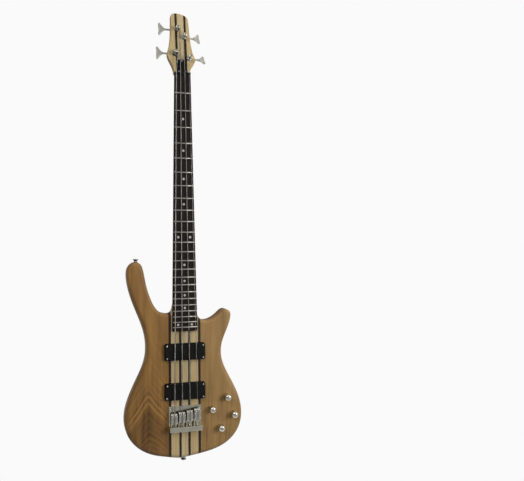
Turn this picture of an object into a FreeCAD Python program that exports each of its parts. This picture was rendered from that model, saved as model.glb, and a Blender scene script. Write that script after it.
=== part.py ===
import FreeCAD, Part
import math
import os
import re
from types import SimpleNamespace

import Sketcher
from FreeCAD import Placement, Rotation, Vector

# A four-string neck-through electric bass with 24 frets, standing upright.
# +Z runs up the neck, the front faces -Y, and the bass side lies at -X.
# The origin is the centre of the lower strap button's outer face.

# Driving dimensions in millimetres, angles in degrees, counts without a unit.
SIZES = {
    # Body
    "body_width": 309.0,
    "body_length": 503.0,
    "body_depth": 40.0,
    "rim_radius": 13.0,
    "treble_horn_radius": 7.0,
    "bass_horn_radius": 9.0,
    "bridge_setback": 121.0,
    # Laminated core
    "center_strip_width": 17.4,
    "inner_stripe_width": 6.2,
    "side_strip_width": 20.5,
    "outer_stripe_width": 6.4,
    "heel_radius": 123.0,
    "heel_web": 7.0,
    "heel_scoop_width": 112.0,
    "heel_edge_radius": 40.0,
    # Neck
    "scale_length": 863.6,
    "fret_plane_height": 12.5,
    "neck_angle": 1.3,
    "neck_depth_at_nut": 14.6,
    "neck_depth_at_heel": 18.4,
    "neck_root": 12.0,
    "neck_tongue": 22.0,
    # Fretboard
    "board_width_at_nut": 42.0,
    "board_width_at_end": 65.0,
    "board_thickness": 6.4,
    "board_overhang": 10.0,
    "fret_height": 1.2,
    "fret_width": 2.6,
    "fret_tang_width": 0.6,
    "fret_tang_depth": 2.0,
    "fret_end_inset": 0.6,
    "dot_diameter": 6.0,
    "dot_depth": 1.6,
    "nut_thickness": 5.0,
    "nut_crown": 1.2,
    "nut_slot_room": 0.4,
    # Headstock
    "headstock_angle": 7.0,
    "headstock_length": 166.5,
    "headstock_width": 72.0,
    "headstock_thickness": 14.5,
    "headstock_edge_radius": 2.0,
    # Truss rod
    "rod_radius": 3.0,
    "rod_depth": 7.2,
    "rod_start": 26.0,
    "rod_nut_radius": 4.0,
    "rod_nut_length": 11.0,
    "rod_pocket_length": 25.0,
    "rod_pocket_width": 10.0,
    "rod_reach": 20.0,
    "rod_cover_width": 22.0,
    "rod_cover_length": 37.0,
    "rod_cover_thickness": 2.4,
    "rod_cover_start": 1.0,
    # Tuners
    "e_post_offset": 17.2,
    "a_post_offset": 9.5,
    "d_post_offset": 9.5,
    "g_post_offset": 21.5,
    "post_radius": 4.8,
    "post_waist_radius": 3.9,
    "post_reach": 17.0,
    "post_groove": 13.0,
    "post_lip": 1.4,
    "post_journal_radius": 2.5,
    "bushing_radius": 6.3,
    "bushing_flange_radius": 7.3,
    "bushing_flange_thickness": 1.6,
    "wheel_pitch_radius": 6.5,
    "wheel_teeth": 20.0,
    "wheel_thickness": 3.0,
    "worm_pitch_radius": 2.6,
    "tooth_rise": 0.45,
    "tooth_fall": 0.65,
    "tooth_width": 0.7,
    "thread_width": 0.6,
    "housing_depth": 11.0,
    "housing_wall": 1.6,
    "housing_corner_radius": 3.0,
    "housing_edge_radius": 1.0,
    "housing_tab_length": 7.0,
    "housing_tab_width": 8.0,
    "housing_tab_thickness": 2.0,
    "gear_room": 0.4,
    "key_shaft_radius": 2.4,
    "key_reach": 47.0,
    "key_blade_length": 20.0,
    "key_blade_width": 36.0,
    "key_blade_thickness": 4.4,
    # Strings, E to G
    "e_radius": 1.32,
    "a_radius": 1.07,
    "d_radius": 0.83,
    "g_radius": 0.57,
    "spacing_at_nut": 11.3,
    "spacing_at_bridge": 20.0,
    "lift_at_nut": 0.6,
    "height_at_bridge": 16.0,
    "winding_height": 11.5,
    "winding_gap": 0.55,
    "winding_turns": 2.5,
    "bend_radius": 30.0,
    "ball_radius": 3.0,
    "ball_face": 2.2,
    # Bridge
    "bridge_width": 84.0,
    "bridge_length": 61.0,
    "bridge_front": 15.5,
    "bridge_plate_thickness": 3.0,
    "bridge_lip_height": 19.0,
    "bridge_lip_thickness": 12.0,
    "bridge_edge_radius": 0.8,
    "string_hole_radius": 2.6,
    "ball_seat_radius": 3.5,
    "ball_seat_depth": 4.6,
    "break_angle": 4.5,
    "saddle_width": 16.4,
    "saddle_nose": 5.0,
    "saddle_tail": 22.0,
    "saddle_tail_drop": 2.6,
    "saddle_nose_drop": 4.0,
    "saddle_setback": 6.0,
    "saddle_stagger": 3.0,
    "saddle_gap": 0.6,
    "intonation_radius": 1.5,
    "intonation_height": 4.8,
    "intonation_length": 38.0,
    "intonation_head_radius": 2.6,
    "intonation_head_length": 2.4,
    "grub_radius": 1.5,
    "grub_offset": 5.6,
    # Pickups
    "pickup_width": 105.0,
    "pickup_length": 42.0,
    "pickup_rise": 8.5,
    "pickup_depth": 13.5,
    "pickup_corner_radius": 5.0,
    "pickup_edge_radius": 2.0,
    "pickup_wall": 1.8,
    "pickup_screw_inset": 5.4,
    "pickup_room": 0.5,
    "coil_length": 82.0,
    "coil_width": 15.0,
    "coil_height": 12.0,
    "coil_spread": 9.0,
    "magnet_length": 66.0,
    "magnet_width": 4.0,
    # Controls
    "knob_radius": 8.4,
    "knob_height": 18.0,
    "knob_dome_radius": 6.0,
    "knob_recess_radius": 7.2,
    "knob_recess_depth": 4.0,
    "knob_socket_depth": 12.0,
    "knob_rise": 0.4,
    "pot_radius": 8.0,
    "pot_height": 8.5,
    "pot_room": 0.3,
    "pot_bushing_radius": 3.5,
    "pot_bushing_rise": 3.0,
    "pot_shaft_radius": 3.0,
    "pot_nut_width": 11.0,
    "pot_nut_thickness": 2.0,
    "cavity_roof": 8.0,
    # Back covers
    "cover_thickness": 2.4,
    "cover_ledge": 5.0,
    "cover_corner_radius": 20.0,
    "cover_room": 0.25,
    "battery_cover_width": 28.0,
    "battery_cover_length": 84.0,
    "battery_cavity_depth": 31.0,
    "battery_wall": 4.0,
    "battery_width": 17.5,
    "battery_length": 46.0,
    "battery_height": 26.5,
    "clip_thickness": 3.5,
    "clip_width": 14.0,
    "board_side": 26.0,
    "board_height": 20.0,
    "board_sheet": 1.6,
    "chip_side": 8.0,
    "chip_height": 3.0,
    # Output jack
    "jack_radius": 5.0,
    "jack_length": 26.0,
    "jack_bore_radius": 3.2,
    "jack_flange_radius": 7.5,
    "jack_flange_thickness": 1.8,
    "jack_recess_radius": 9.0,
    # Strap buttons
    "button_height": 9.5,
    "button_seat": 0.3,
    "button_base_radius": 5.5,
    "button_waist_radius": 4.0,
    "button_head_radius": 7.0,
    "button_rim": 2.0,
    "strap_screw_radius": 2.0,
    "strap_screw_length": 26.0,
    "strap_screw_head_radius": 3.8,
    # Screws
    "screw_radius": 1.5,
    "screw_length": 16.0,
    "screw_head_radius": 3.0,
    "small_screw_radius": 1.1,
    "small_screw_length": 9.0,
    "small_screw_head_radius": 2.1,
    "small_screw_head_height": 1.1,
    "pickup_screw_length": 27.0,
    # Fits
    "seat_gap": 0.05,
    "running_gap": 0.05,
    "string_gap": 0.3,
    "slide_gap": 0.1,
    "cut_overrun": 2.0,
}

# Body outline as shares of body width and body length, from the tail up the treble side,
# round the treble horn, across the neck, and back down the bass side. A point that names a
# radius ends a run of the rounded rim, which has that radius there: the horns' tips and the
# stretch hidden in the neck are too tight for the full rim.
BODY_OUTLINE_SHARES = [
    (0.000, 0.000, "rim_radius"),
    (0.194, 0.018),
    (0.359, 0.054),
    (0.469, 0.123),
    (0.502, 0.211),
    (0.466, 0.312),
    (0.382, 0.416, "rim_radius"),
    (0.327, 0.499),
    (0.327, 0.575),
    (0.372, 0.650, "treble_horn_radius"),
    (0.401, 0.703),
    (0.397, 0.738),
    (0.360, 0.750),
    (0.304, 0.730, "treble_horn_radius"),
    (0.233, 0.701),
    (0.165, 0.697),
    (0.123, 0.716),
    (0.107, 0.753),
    (0.084, 0.801),
    (0.000, 0.817),
    (-0.084, 0.805),
    (-0.102, 0.769),
    (-0.123, 0.740),
    (-0.172, 0.737),
    (-0.233, 0.763),
    (-0.282, 0.819, "treble_horn_radius"),
    (-0.317, 0.889),
    (-0.340, 0.960),
    (-0.369, 0.994, "bass_horn_radius"),
    (-0.421, 0.997),
    (-0.466, 0.968),
    (-0.474, 0.926, "bass_horn_radius"),
    (-0.453, 0.851),
    (-0.401, 0.759),
    (-0.345, 0.670, "rim_radius"),
    (-0.317, 0.575),
    (-0.327, 0.509),
    (-0.395, 0.406),
    (-0.469, 0.304),
    (-0.498, 0.221),
    (-0.476, 0.141),
    (-0.395, 0.072),
    (-0.272, 0.028),
    (-0.136, 0.008),
]

# Headstock flanks and top as shares of its width and length.
HEADSTOCK_BASS_SHARES = [
    (-0.292, 0.000),
    (-0.319, 0.080),
    (-0.396, 0.166),
    (-0.484, 0.250),
    (-0.512, 0.310),
    (-0.482, 0.372),
    (-0.427, 0.462),
    (-0.385, 0.574),
    (-0.358, 0.750),
    (-0.343, 0.925),
]
HEADSTOCK_TOP_SHARES = [
    (-0.343, 0.925),
    (-0.303, 0.981),
    (-0.150, 1.000),
    (0.085, 0.985),
    (0.228, 0.957),
    (0.302, 0.893),
]
HEADSTOCK_TREBLE_SHARES = [
    (0.302, 0.893),
    (0.318, 0.820),
    (0.334, 0.690),
    (0.361, 0.535),
    (0.412, 0.392),
    (0.487, 0.285),
    (0.519, 0.236),
    (0.474, 0.176),
    (0.379, 0.112),
    (0.310, 0.047),
    (0.292, 0.000),
]

# Post heights up the headstock, E to G, as shares of its length.
POST_HEIGHT_SHARES = [0.315, 0.721, 0.601, 0.246]

# Resting turn of each key about its shaft, E to G, in degrees.
KEY_TURNS = [0.0, 0.0, -20.0, -30.0]

# Rounded post top: shares of the post's radius at the shoulder and at the flat.
POST_SHOULDER_SHARE = 0.96
POST_FLAT_SHARE = 0.7
# Wheel teeth and worm thread: shares of their mean width at the tip and at the root.
TOOTH_TIP_SHARE = 0.7
TOOTH_ROOT_SHARE = 1.3
THREAD_TIP_SHARE = 0.6
THREAD_ROOT_SHARE = 1.4
# Key shaft: share of the housing's wall that its blind end enters, and of the blade left past its end.
SHAFT_SEAT_SHARE = 0.4
SHAFT_END_SHARE = 0.7

# Fishtail key flank: shares of the blade's length and half width.
KEY_FLANK_SHARES = [(0.00, 0.15), (0.36, 0.28), (0.60, 0.60), (0.78, 0.98)]
KEY_TIP_SHARES = [(0.78, 0.98), (0.92, 1.00), (0.97, 0.86)]
KEY_END_SHARES = [(0.97, 0.86), (0.90, 0.00), (0.97, -0.86)]

# Pickup centres above the bridge line, neck pickup first, as shares of the scale length.
PICKUP_PLACE_SHARES = [0.1772, 0.0608]
# Coil ends: share of the coil's width.
COIL_END_SHARE = 0.45

# Knob places as shares of body width and body length, from the centreline and the tail.
KNOB_PLACE_SHARES = [(0.362, 0.301), (0.230, 0.245), (0.421, 0.210), (0.306, 0.146)]

# Control cover corners, before rounding, as shares of body width and body length.
COVER_CORNER_SHARES = [(0.375, 0.364), (0.130, 0.237), (0.259, 0.054), (0.485, 0.181)]
# Screws of the control cover, along each side from corner to corner.
COVER_SCREW_SHARE = 0.5
# Preamp board's place as shares of body width and body length.
BOARD_PLACE_SHARES = (0.322, 0.222)

# Battery cover's centre as a share of body length.
BATTERY_PLACE_SHARE = 0.455
# Output jack's seat and the horn's strap button seat as shares of body width and body length.
JACK_PLACE_SHARES = (0.4741, 0.161)
HORN_BUTTON_SHARES = (-0.395, 0.996)
# Strap button waist: shares of the button's height.
BUTTON_WAIST_SHARES = (0.35, 0.55)
# Screw head dome: shares of head radius and head height.
SCREW_DOME_SHARES = [(1.0, 0.4), (0.7, 0.85)]

# Bridge screw places as shares of half the bridge width and of the plate's open length.
BRIDGE_SCREW_SHARES = [(-0.86, 0.86), (0.00, 0.86), (0.86, 0.86), (-0.86, 0.20), (0.86, 0.20)]

# Fret crown: shares of half the fret's width and of its height.
CROWN_SHARES = [(-1.0, 0.0), (-0.88, 0.45), (-0.55, 0.88), (0.0, 1.0), (0.55, 0.88), (0.88, 0.45), (1.0, 0.0)]

FRET_COUNT = 24
SINGLE_DOT_FRETS = [3, 5, 7, 9, 15, 17, 19, 21]
DOUBLE_DOT_FRETS = [12, 24]
NAMES = ["e", "a", "d", "g"]

doc = FreeCAD.newDocument("electric_bass")
sheet = doc.addObject("Spreadsheet::Sheet", "Sizes")
for row, (alias, number) in enumerate(SIZES.items(), start=1):
    sheet.set("A%d" % row, alias)
    sheet.set("B%d" % row, str(number))
    sheet.setAlias("B%d" % row, alias)
doc.recompute()

size = SimpleNamespace(**{alias: float(sheet.get(alias)) for alias in SIZES})
nodes = {}

X_AXIS = Vector(1, 0, 0)
UP = Vector(0, 0, 1)
FRONT = Vector(0, -1, 0)
BACK = Vector(0, 1, 0)

# Derived places
tail_z = size.button_height
body_z = tail_z - size.button_seat
bridge_z = tail_z + size.bridge_setback
face_y = -size.body_depth / 2
back_y = size.body_depth / 2
core_width = size.center_strip_width + 2 * (
    size.inner_stripe_width + size.side_strip_width + size.outer_stripe_width)
battery_x = size.pickup_width / 2 + size.pickup_room + size.battery_wall + (
    size.battery_cover_width / 2 - size.cover_ledge)
battery_z = body_z + BATTERY_PLACE_SHARE * size.body_length
board_end = size.scale_length / 4 - size.board_overhang
glue_depth = size.fret_height + size.board_thickness
worm_distance = size.wheel_pitch_radius + size.worm_pitch_radius
worm_pitch = 2 * math.pi * size.wheel_pitch_radius / size.wheel_teeth
string_radii = [size.e_radius, size.a_radius, size.d_radius, size.g_radius]

# The neck's own frame: origin on the fret plane at the bridge line, y to the back, z up the neck.
neck_frame = Placement(
    Vector(0, face_y - size.fret_plane_height, bridge_z), Rotation(X_AXIS, -size.neck_angle))
# The headstock's own frame: origin on its face at the nut, y into the wood, z up the headstock.
head_frame = neck_frame * Placement(
    Vector(0, glue_depth, size.scale_length + size.nut_thickness), Rotation(X_AXIS, -size.headstock_angle))


def expression(text):
    """Point every size named in the text at its cell."""
    def cell(match):
        word = match.group(0)
        return "Sizes." + word if word in SIZES else word
    return re.sub(r"[a-z]+(?:_[a-z]+)*", cell, text)


def value(text):
    """Work out a text of sizes as a number."""
    return float(sheet.evalExpression(text))


def bind(item, **texts):
    """Bind properties of an object to texts of sizes."""
    for name, text in texts.items():
        item.setExpression(name, expression(text))


def origin_plane(body, role):
    """One of the body's own three base planes."""
    for feature in body.Origin.OriginFeatures:
        if feature.Role == role:
            return feature
    raise ValueError(role)


def polygon_sketch(body, role, corners):
    """Closed polygon on a base plane, each corner held by two bound distances from the origin."""
    sketch = body.newObject("Sketcher::SketchObject", body.Name + "_sketch")
    sketch.AttachmentSupport = [(origin_plane(body, role), "")]
    sketch.MapMode = "FlatFace"
    points = [Vector(value(across), value(up), 0) for across, up in corners]
    count = len(points)
    for index in range(count):
        sketch.addGeometry(Part.LineSegment(points[index], points[(index + 1) % count]))
    for index in range(count):
        sketch.addConstraint(Sketcher.Constraint("Coincident", index, 2, (index + 1) % count, 1))
    for index, (across, up) in enumerate(corners):
        for kind, text, axis, number in (
                ("DistanceX", across, -2, points[index].x), ("DistanceY", up, -1, points[index].y)):
            if text == "0":
                sketch.addConstraint(Sketcher.Constraint("PointOnObject", index, 1, axis))
                continue
            place = sketch.addConstraint(Sketcher.Constraint(kind, -1, 1, index, 1, number))
            sketch.setExpression("Constraints[%d]" % place, expression(text))
    return sketch


def turned(label, profile, place):
    """Lathe-turned piece: a profile of radii and heights spun about the local z axis."""
    body = doc.addObject("PartDesign::Body", label)
    sketch = polygon_sketch(body, "XZ_Plane", profile)
    spin = body.newObject("PartDesign::Revolution", label + "_spin")
    spin.Profile = (sketch, [""])
    spin.ReferenceAxis = (sketch, ["V_Axis"])
    spin.Angle = 360
    body.Placement = place
    return body


def padded(label, role, corners, length, place):
    """Plate or bar: a polygon on a base plane, padded along the plane's normal."""
    body = doc.addObject("PartDesign::Body", label)
    sketch = polygon_sketch(body, role, corners)
    pad = body.newObject("PartDesign::Pad", label + "_pad")
    pad.Profile = (sketch, [""])
    bind(pad, Length=length)
    body.Placement = place
    return body


def rounded(body, wanted, radius):
    """Round the body's edges that the test accepts."""
    doc.recompute()
    last = body.Tip
    edges = ["Edge%d" % number for number, edge in enumerate(last.Shape.Edges, start=1) if wanted(edge)]
    fillet = body.newObject("PartDesign::Fillet", body.Name + "_round")
    fillet.Base = (last, edges)
    bind(fillet, Radius=radius)
    return body


def cut_from(label, base, tools, place=Placement()):
    """A base piece less a group of tool shapes given in a frame of their own."""
    cutter = shaped(label + "_tools", Part.makeCompound(tools), place)
    cut = doc.addObject("Part::Cut", label)
    cut.Base = base
    cut.Tool = cutter
    return cut


def box(label, width, depth, height, corner, place=Placement()):
    """Rectangular block with bound sides, from its lowest corner."""
    item = doc.addObject("Part::Box", label)
    bind(item, Length=width, Width=depth, Height=height)
    item.Placement = place * Placement(corner, Rotation())
    return item


def rod(label, radius, height, place):
    """Round bar with bound sizes along the local z axis."""
    item = doc.addObject("Part::Cylinder", label)
    bind(item, Radius=radius, Height=height)
    item.Placement = place
    return item


def joined(label, kind, pieces):
    """Several objects as one: fused, or grouped as separate solids."""
    item = doc.addObject(kind, label)
    if kind == "Part::Compound":
        item.Links = pieces
    else:
        item.Shapes = pieces
    return item


def shaped(label, shape, place=Placement()):
    """Piece whose shape is worked out here, in its own frame."""
    item = doc.addObject("Part::Feature", label)
    item.Shape = shape
    item.Placement = place
    return item


def keep(node, item):
    """Register an object as a node of the part."""
    item.Label = node
    nodes[node] = item
    return item


def facing(point, direction):
    """Place a piece at a point with its local z along a direction."""
    return Placement(point, Rotation(UP, direction))


def cylinder(radius, length, point, direction):
    """Round bar or hole from a point along a direction."""
    return Part.makeCylinder(radius, length, point, direction)


def block(low, high):
    """Box between two corners."""
    return Part.makeBox(high.x - low.x, high.y - low.y, high.z - low.z, low)


def moved(shape, place):
    """Copy of a shape carried from a local frame into the part's frame."""
    copy = shape.copy()
    copy.Placement = place * copy.Placement
    return copy


def spline(points, closed=False):
    """Smooth curve through the points."""
    curve = Part.BSplineCurve()
    curve.interpolate(points, PeriodicFlag=closed)
    return curve


def fret_place(fret):
    """Distance of a fret from the bridge line, each fret a semitone shorter."""
    return size.scale_length / 2 ** (fret / 12)


def board_width(place):
    """Width of the fretboard at a distance from the bridge line."""
    taper = (size.board_width_at_end - size.board_width_at_nut) / (size.scale_length - board_end)
    return size.board_width_at_nut + taper * (size.scale_length - place)


def neck_depth(place):
    """Depth of neck wood under the fretboard at a distance from the bridge line."""
    taper = (size.neck_depth_at_heel - size.neck_depth_at_nut) / (size.scale_length - board_end)
    return size.neck_depth_at_nut + taper * (size.scale_length - place)


def body_point(across_share, along_share):
    """Point of the body's middle plane from its shares of width and length."""
    return Vector(across_share * size.body_width, 0, body_z + along_share * size.body_length)


def body_blank():
    """Both wings and the core as one slab with a rounded rim, scooped at the back for the heel."""
    points = [body_point(*shares[:2]) for shares in BODY_OUTLINE_SHARES]
    curve = spline(points, closed=True)
    ends = [
        (curve.parameter(point), getattr(size, shares[2]))
        for point, shares in zip(points, BODY_OUTLINE_SHARES) if len(shares) > 2]
    ends[0] = (curve.FirstParameter, size.rim_radius)
    ends.append((curve.LastParameter, size.rim_radius))
    spans = list(zip(ends, ends[1:]))
    runs = [curve.toShape(first, last) for (first, _), (last, _) in spans]
    outline = Part.Wire(runs)
    outline.translate(Vector(0, face_y, 0))
    slab = shaped("body_slab", Part.Face(outline).extrude(Vector(0, size.body_depth, 0)))
    radii = []
    for number, edge in enumerate(slab.Shape.Edges, start=1):
        middle = edge.valueAt((edge.FirstParameter + edge.LastParameter) / 2)
        if abs(abs(middle.y) - back_y) > size.seat_gap:
            continue
        low_end = edge.valueAt(edge.FirstParameter)
        for run, ((first, start), (last, end)) in zip(runs, spans):
            center = run.valueAt((run.FirstParameter + run.LastParameter) / 2)
            if Vector(middle.x - center.x, 0, middle.z - center.z).Length > size.seat_gap:
                continue
            begin = curve.value(first)
            if Vector(low_end.x - begin.x, 0, low_end.z - begin.z).Length > size.seat_gap:
                start, end = end, start
            radii.append((number, start, end))
    rim = doc.addObject("Part::Fillet", "body_rim")
    rim.Base = slab
    rim.Edges = radii
    doc.recompute()
    floor_y = face_y + size.heel_web
    center_y = floor_y + size.heel_radius
    center_z = bridge_z + board_end + math.sqrt(size.heel_radius ** 2 - (center_y - back_y) ** 2)
    scoop = cylinder(
        size.heel_radius, size.heel_scoop_width, Vector(-size.heel_scoop_width / 2, center_y, center_z), X_AXIS)
    ends = [edge for edge in scoop.Edges if edge.Closed]
    scoop = scoop.makeFillet(size.heel_edge_radius, ends)
    return rim.Shape.cut(scoop)


def neck_section(place):
    """Outline of the neck wood across its length: flat on top, half an ellipse behind."""
    half = board_width(place) / 2
    depth = neck_depth(place)
    wide = half >= depth
    ellipse = Part.Ellipse(Vector(0, 0, 0), max(half, depth), min(half, depth))
    if not wide:
        ellipse.rotate(Placement(Vector(), Rotation(UP, 90)))
    arc = Part.Arc(ellipse, 0, math.pi) if wide else Part.Arc(ellipse, -math.pi / 2, math.pi / 2)
    back = arc.toShape()
    ends = [vertex.Point for vertex in back.Vertexes]
    flat = Part.LineSegment(ends[-1], ends[0]).toShape()
    section = Part.Wire([back, flat])
    section.translate(Vector(0, glue_depth, place))
    return section


def headstock():
    """Headstock slab in its own frame, with softened edges."""
    def curve(shares):
        points = [Vector(x * size.headstock_width, 0, z * size.headstock_length) for x, z in shares]
        return spline(points).toShape()
    bass = curve(HEADSTOCK_BASS_SHARES)
    top = curve(HEADSTOCK_TOP_SHARES)
    treble = curve(HEADSTOCK_TREBLE_SHARES)
    foot = Part.LineSegment(treble.Vertexes[-1].Point, bass.Vertexes[0].Point).toShape()
    slab = Part.Face(Part.Wire([bass, top, treble, foot])).extrude(Vector(0, size.headstock_thickness, 0))
    edges = []
    for edge in slab.Edges:
        middle = edge.valueAt((edge.FirstParameter + edge.LastParameter) / 2)
        on_skin = min(abs(middle.y), abs(middle.y - size.headstock_thickness)) < size.seat_gap
        if on_skin and middle.z > size.headstock_edge_radius:
            edges.append(edge)
    return slab.makeFillet(size.headstock_edge_radius, edges)


def neck_blank():
    """Neck and headstock as one piece, planed flat for the fretboard and at the headstock's face."""
    low = neck_section(board_end - size.neck_root)
    high = neck_section(size.scale_length + size.nut_thickness + size.neck_tongue)
    shaft = moved(Part.makeLoft([low, high], True, True), neck_frame)
    over = size.headstock_width
    plane_off = moved(
        block(Vector(-over, -over, 0), Vector(over, 0, size.headstock_length)), head_frame)
    return shaft.cut(plane_off).fuse(moved(headstock(), head_frame))


def slab_between(low_x, high_x, low_z, high_z):
    """Block that spans the part's whole depth between two x planes and two heights."""
    reach = size.body_depth + size.headstock_length
    return block(Vector(low_x, -reach, low_z), Vector(high_x, reach, high_z))


def cover_outline(inset):
    """Control cover's rounded four-sided outline, drawn in by an inset, on the body's middle plane."""
    corners = [body_point(*shares) for shares in COVER_CORNER_SHARES]
    wire = Part.makePolygon(corners + corners[:1])
    face = Part.Face(wire).extrude(BACK * size.cover_thickness)
    uprights = [edge for edge in face.Edges if abs(edge.tangentAt(edge.FirstParameter).y) > 0.5]
    face = face.makeFillet(size.cover_corner_radius, uprights)
    outline = [item for item in face.Faces if abs(item.CenterOfMass.y) < size.seat_gap][0]
    return outline.makeOffset2D(-inset) if inset else outline


def stadium(width, length, inset):
    """Face with straight sides and round ends, centred on the battery cover's place."""
    radius = width / 2 - inset
    reach = length / 2 - width / 2
    low_left = Vector(battery_x - radius, 0, battery_z - reach)
    low_right = Vector(battery_x + radius, 0, battery_z - reach)
    high_left = Vector(battery_x - radius, 0, battery_z + reach)
    high_right = Vector(battery_x + radius, 0, battery_z + reach)
    edges = [
        Part.LineSegment(low_right, high_right).toShape(),
        Part.Arc(high_right, Vector(battery_x, 0, battery_z + reach + radius), high_left).toShape(),
        Part.LineSegment(high_left, low_left).toShape(),
        Part.Arc(low_left, Vector(battery_x, 0, battery_z - reach - radius), low_right).toShape(),
    ]
    return Part.Face(Part.Wire(edges))


def from_back(face, start, depth):
    """Solid under a flat outline, from a depth below the back to a further depth."""
    copy = face.copy()
    copy.translate(Vector(0, back_y - start, 0))
    return copy.extrude(Vector(0, start - depth, 0))


def cover_screw_points():
    """Screw places of the control cover, on the ledge halfway along each side."""
    corners = [body_point(*shares) for shares in COVER_CORNER_SHARES]
    middle = Vector()
    for corner in corners:
        middle = middle + corner * (1 / len(corners))
    points = []
    for index, corner in enumerate(corners):
        after = corners[(index + 1) % len(corners)]
        side = corner + (after - corner) * COVER_SCREW_SHARE
        along = (after - corner).normalize()
        inward = (middle - side) - along * (middle - side).dot(along)
        points.append(side + inward.normalize() * (size.cover_ledge / 2))
    return points


def battery_screw_points():
    """Screw places at the two ends of the battery cover."""
    reach = size.battery_cover_length / 2 - size.cover_ledge
    return [Vector(battery_x, 0, battery_z + side * reach) for side in (-1, 1)]


def knob_points():
    """Knob centres on the middle plane."""
    return [body_point(*shares) for shares in KNOB_PLACE_SHARES]


def pickup_places():
    """Heights of the two pickups above the origin."""
    return [bridge_z + share * size.scale_length for share in PICKUP_PLACE_SHARES]


def pickup_screw_points():
    """Corner screw places of both pickups."""
    points = []
    for height in pickup_places():
        for across in (-1, 1):
            for along in (-1, 1):
                points.append(Vector(
                    across * (size.pickup_width / 2 - size.pickup_screw_inset), 0,
                    height + along * (size.pickup_length / 2 - size.pickup_screw_inset)))
    return points


def bridge_screw_points():
    """Screw places of the bridge plate."""
    open_length = size.bridge_length - size.bridge_lip_thickness
    points = []
    for across, along in BRIDGE_SCREW_SHARES:
        points.append(Vector(
            across * size.bridge_width / 2, 0, bridge_z + size.bridge_front - open_length * (1 - along)))
    return points


def tuner_posts():
    """Post centres on the headstock's face, E to G, with the side that each key points to."""
    offsets = [size.e_post_offset, size.a_post_offset, size.d_post_offset, size.g_post_offset]
    posts = []
    for index, share in enumerate(POST_HEIGHT_SHARES):
        side = -1 if index < 2 else 1
        posts.append((Vector(side * offsets[index], 0, share * size.headstock_length), side))
    return posts


def rod_cover_screw_points():
    """Screw places of the truss rod cover in the headstock's frame."""
    edge = size.small_screw_head_radius + size.seat_gap
    low = size.rod_cover_start + edge
    side = size.rod_cover_width / 2 - edge
    return [
        Vector(-side, 0, low),
        Vector(side, 0, low),
        Vector(0, 0, size.rod_cover_start + size.rod_cover_length - 2 * edge),
    ]


def housing_screw_points():
    """Screw place on each tuner housing's tab, in the headstock's frame."""
    reach = size.wheel_pitch_radius + size.tooth_rise + size.gear_room + size.housing_wall
    reach = reach + size.housing_tab_length / 2
    return [post - UP * reach for post, _ in tuner_posts()]


def pilot(points, radius, length, start_y, direction):
    """Screw holes from a skin at a depth into the wood."""
    return [cylinder(radius + size.seat_gap, length + size.seat_gap, Vector(p.x, start_y, p.z), direction)
            for p in points]


def wing_cutters():
    """Everything routed or drilled into the treble wing, and the strap button's seat in the bass wing."""
    over = size.cut_overrun
    cutters = []
    recess = size.cover_thickness
    cutters.append(from_back(cover_outline(0), -over, recess))
    cutters.append(from_back(cover_outline(size.cover_ledge), 0, size.body_depth - size.cavity_roof))
    cutters.append(from_back(stadium(size.battery_cover_width, size.battery_cover_length, 0), -over, recess))
    cavity = stadium(
        size.battery_cover_width, size.battery_cover_length - 2 * size.cover_ledge, size.cover_ledge)
    cutters.append(from_back(cavity, 0, size.battery_cavity_depth))
    screws = cover_screw_points() + battery_screw_points()
    cutters += pilot(screws, size.small_screw_radius, size.small_screw_length, back_y, FRONT)
    hole = size.pot_bushing_radius + size.seat_gap
    well = size.pot_radius + size.pot_room
    for point in knob_points():
        skin = Vector(point.x, face_y, point.z)
        cutters.append(cylinder(hole, size.cavity_roof + 2 * over, skin + FRONT * over, BACK))
        cutters.append(cylinder(well, size.pot_height + over, skin + BACK * size.cavity_roof, BACK))
    seat = body_point(*JACK_PLACE_SHARES)
    cutters.append(cylinder(size.jack_recess_radius, size.body_width, seat, X_AXIS))
    cutters.append(cylinder(
        size.jack_radius + size.seat_gap, size.jack_length + over, seat + X_AXIS * over, -X_AXIS))
    horn = body_point(*HORN_BUTTON_SHARES)
    cutters.append(cylinder(size.button_base_radius + size.seat_gap, size.body_depth, horn, UP))
    cutters.append(cylinder(
        size.strap_screw_radius + size.seat_gap, size.strap_screw_length, horn + UP * over, -UP))
    return cutters


def core_cutters(board_shape):
    """Everything cut into the neck-through core."""
    over = size.cut_overrun
    cutters = [board_shape]
    channel = size.rod_radius + size.seat_gap
    floor = glue_depth + size.rod_depth + channel
    cutters.append(moved(block(
        Vector(-channel, glue_depth - over, board_end + size.rod_start),
        Vector(channel, floor, size.scale_length + size.nut_thickness + over)), neck_frame))
    cutters.append(moved(block(
        Vector(-size.rod_pocket_width / 2, -over, size.rod_cover_start),
        Vector(size.rod_pocket_width / 2, size.rod_depth + size.rod_nut_radius, size.rod_pocket_length)),
        head_frame))
    points = bridge_screw_points()
    cutters += pilot(points, size.screw_radius, size.screw_length - size.bridge_plate_thickness, face_y, BACK)
    tail = Vector(0, 0, tail_z)
    cutters.append(cylinder(size.button_base_radius + size.seat_gap, size.body_depth, tail, -UP))
    cutters.append(cylinder(
        size.strap_screw_radius + size.seat_gap, size.strap_screw_length, tail - UP * over, UP))
    for post, _ in tuner_posts():
        hole = cylinder(
            size.bushing_radius + size.seat_gap, size.headstock_thickness + 2 * over, post - BACK * over, BACK)
        cutters.append(moved(hole, head_frame))
    back = size.headstock_thickness
    depth = size.small_screw_length - size.housing_tab_thickness
    for hole in pilot(housing_screw_points(), size.small_screw_radius, depth, back, FRONT):
        cutters.append(moved(hole, head_frame))
    depth = size.small_screw_length - size.rod_cover_thickness
    for hole in pilot(rod_cover_screw_points(), size.small_screw_radius, depth, 0, BACK):
        cutters.append(moved(hole, head_frame))
    return cutters


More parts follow.
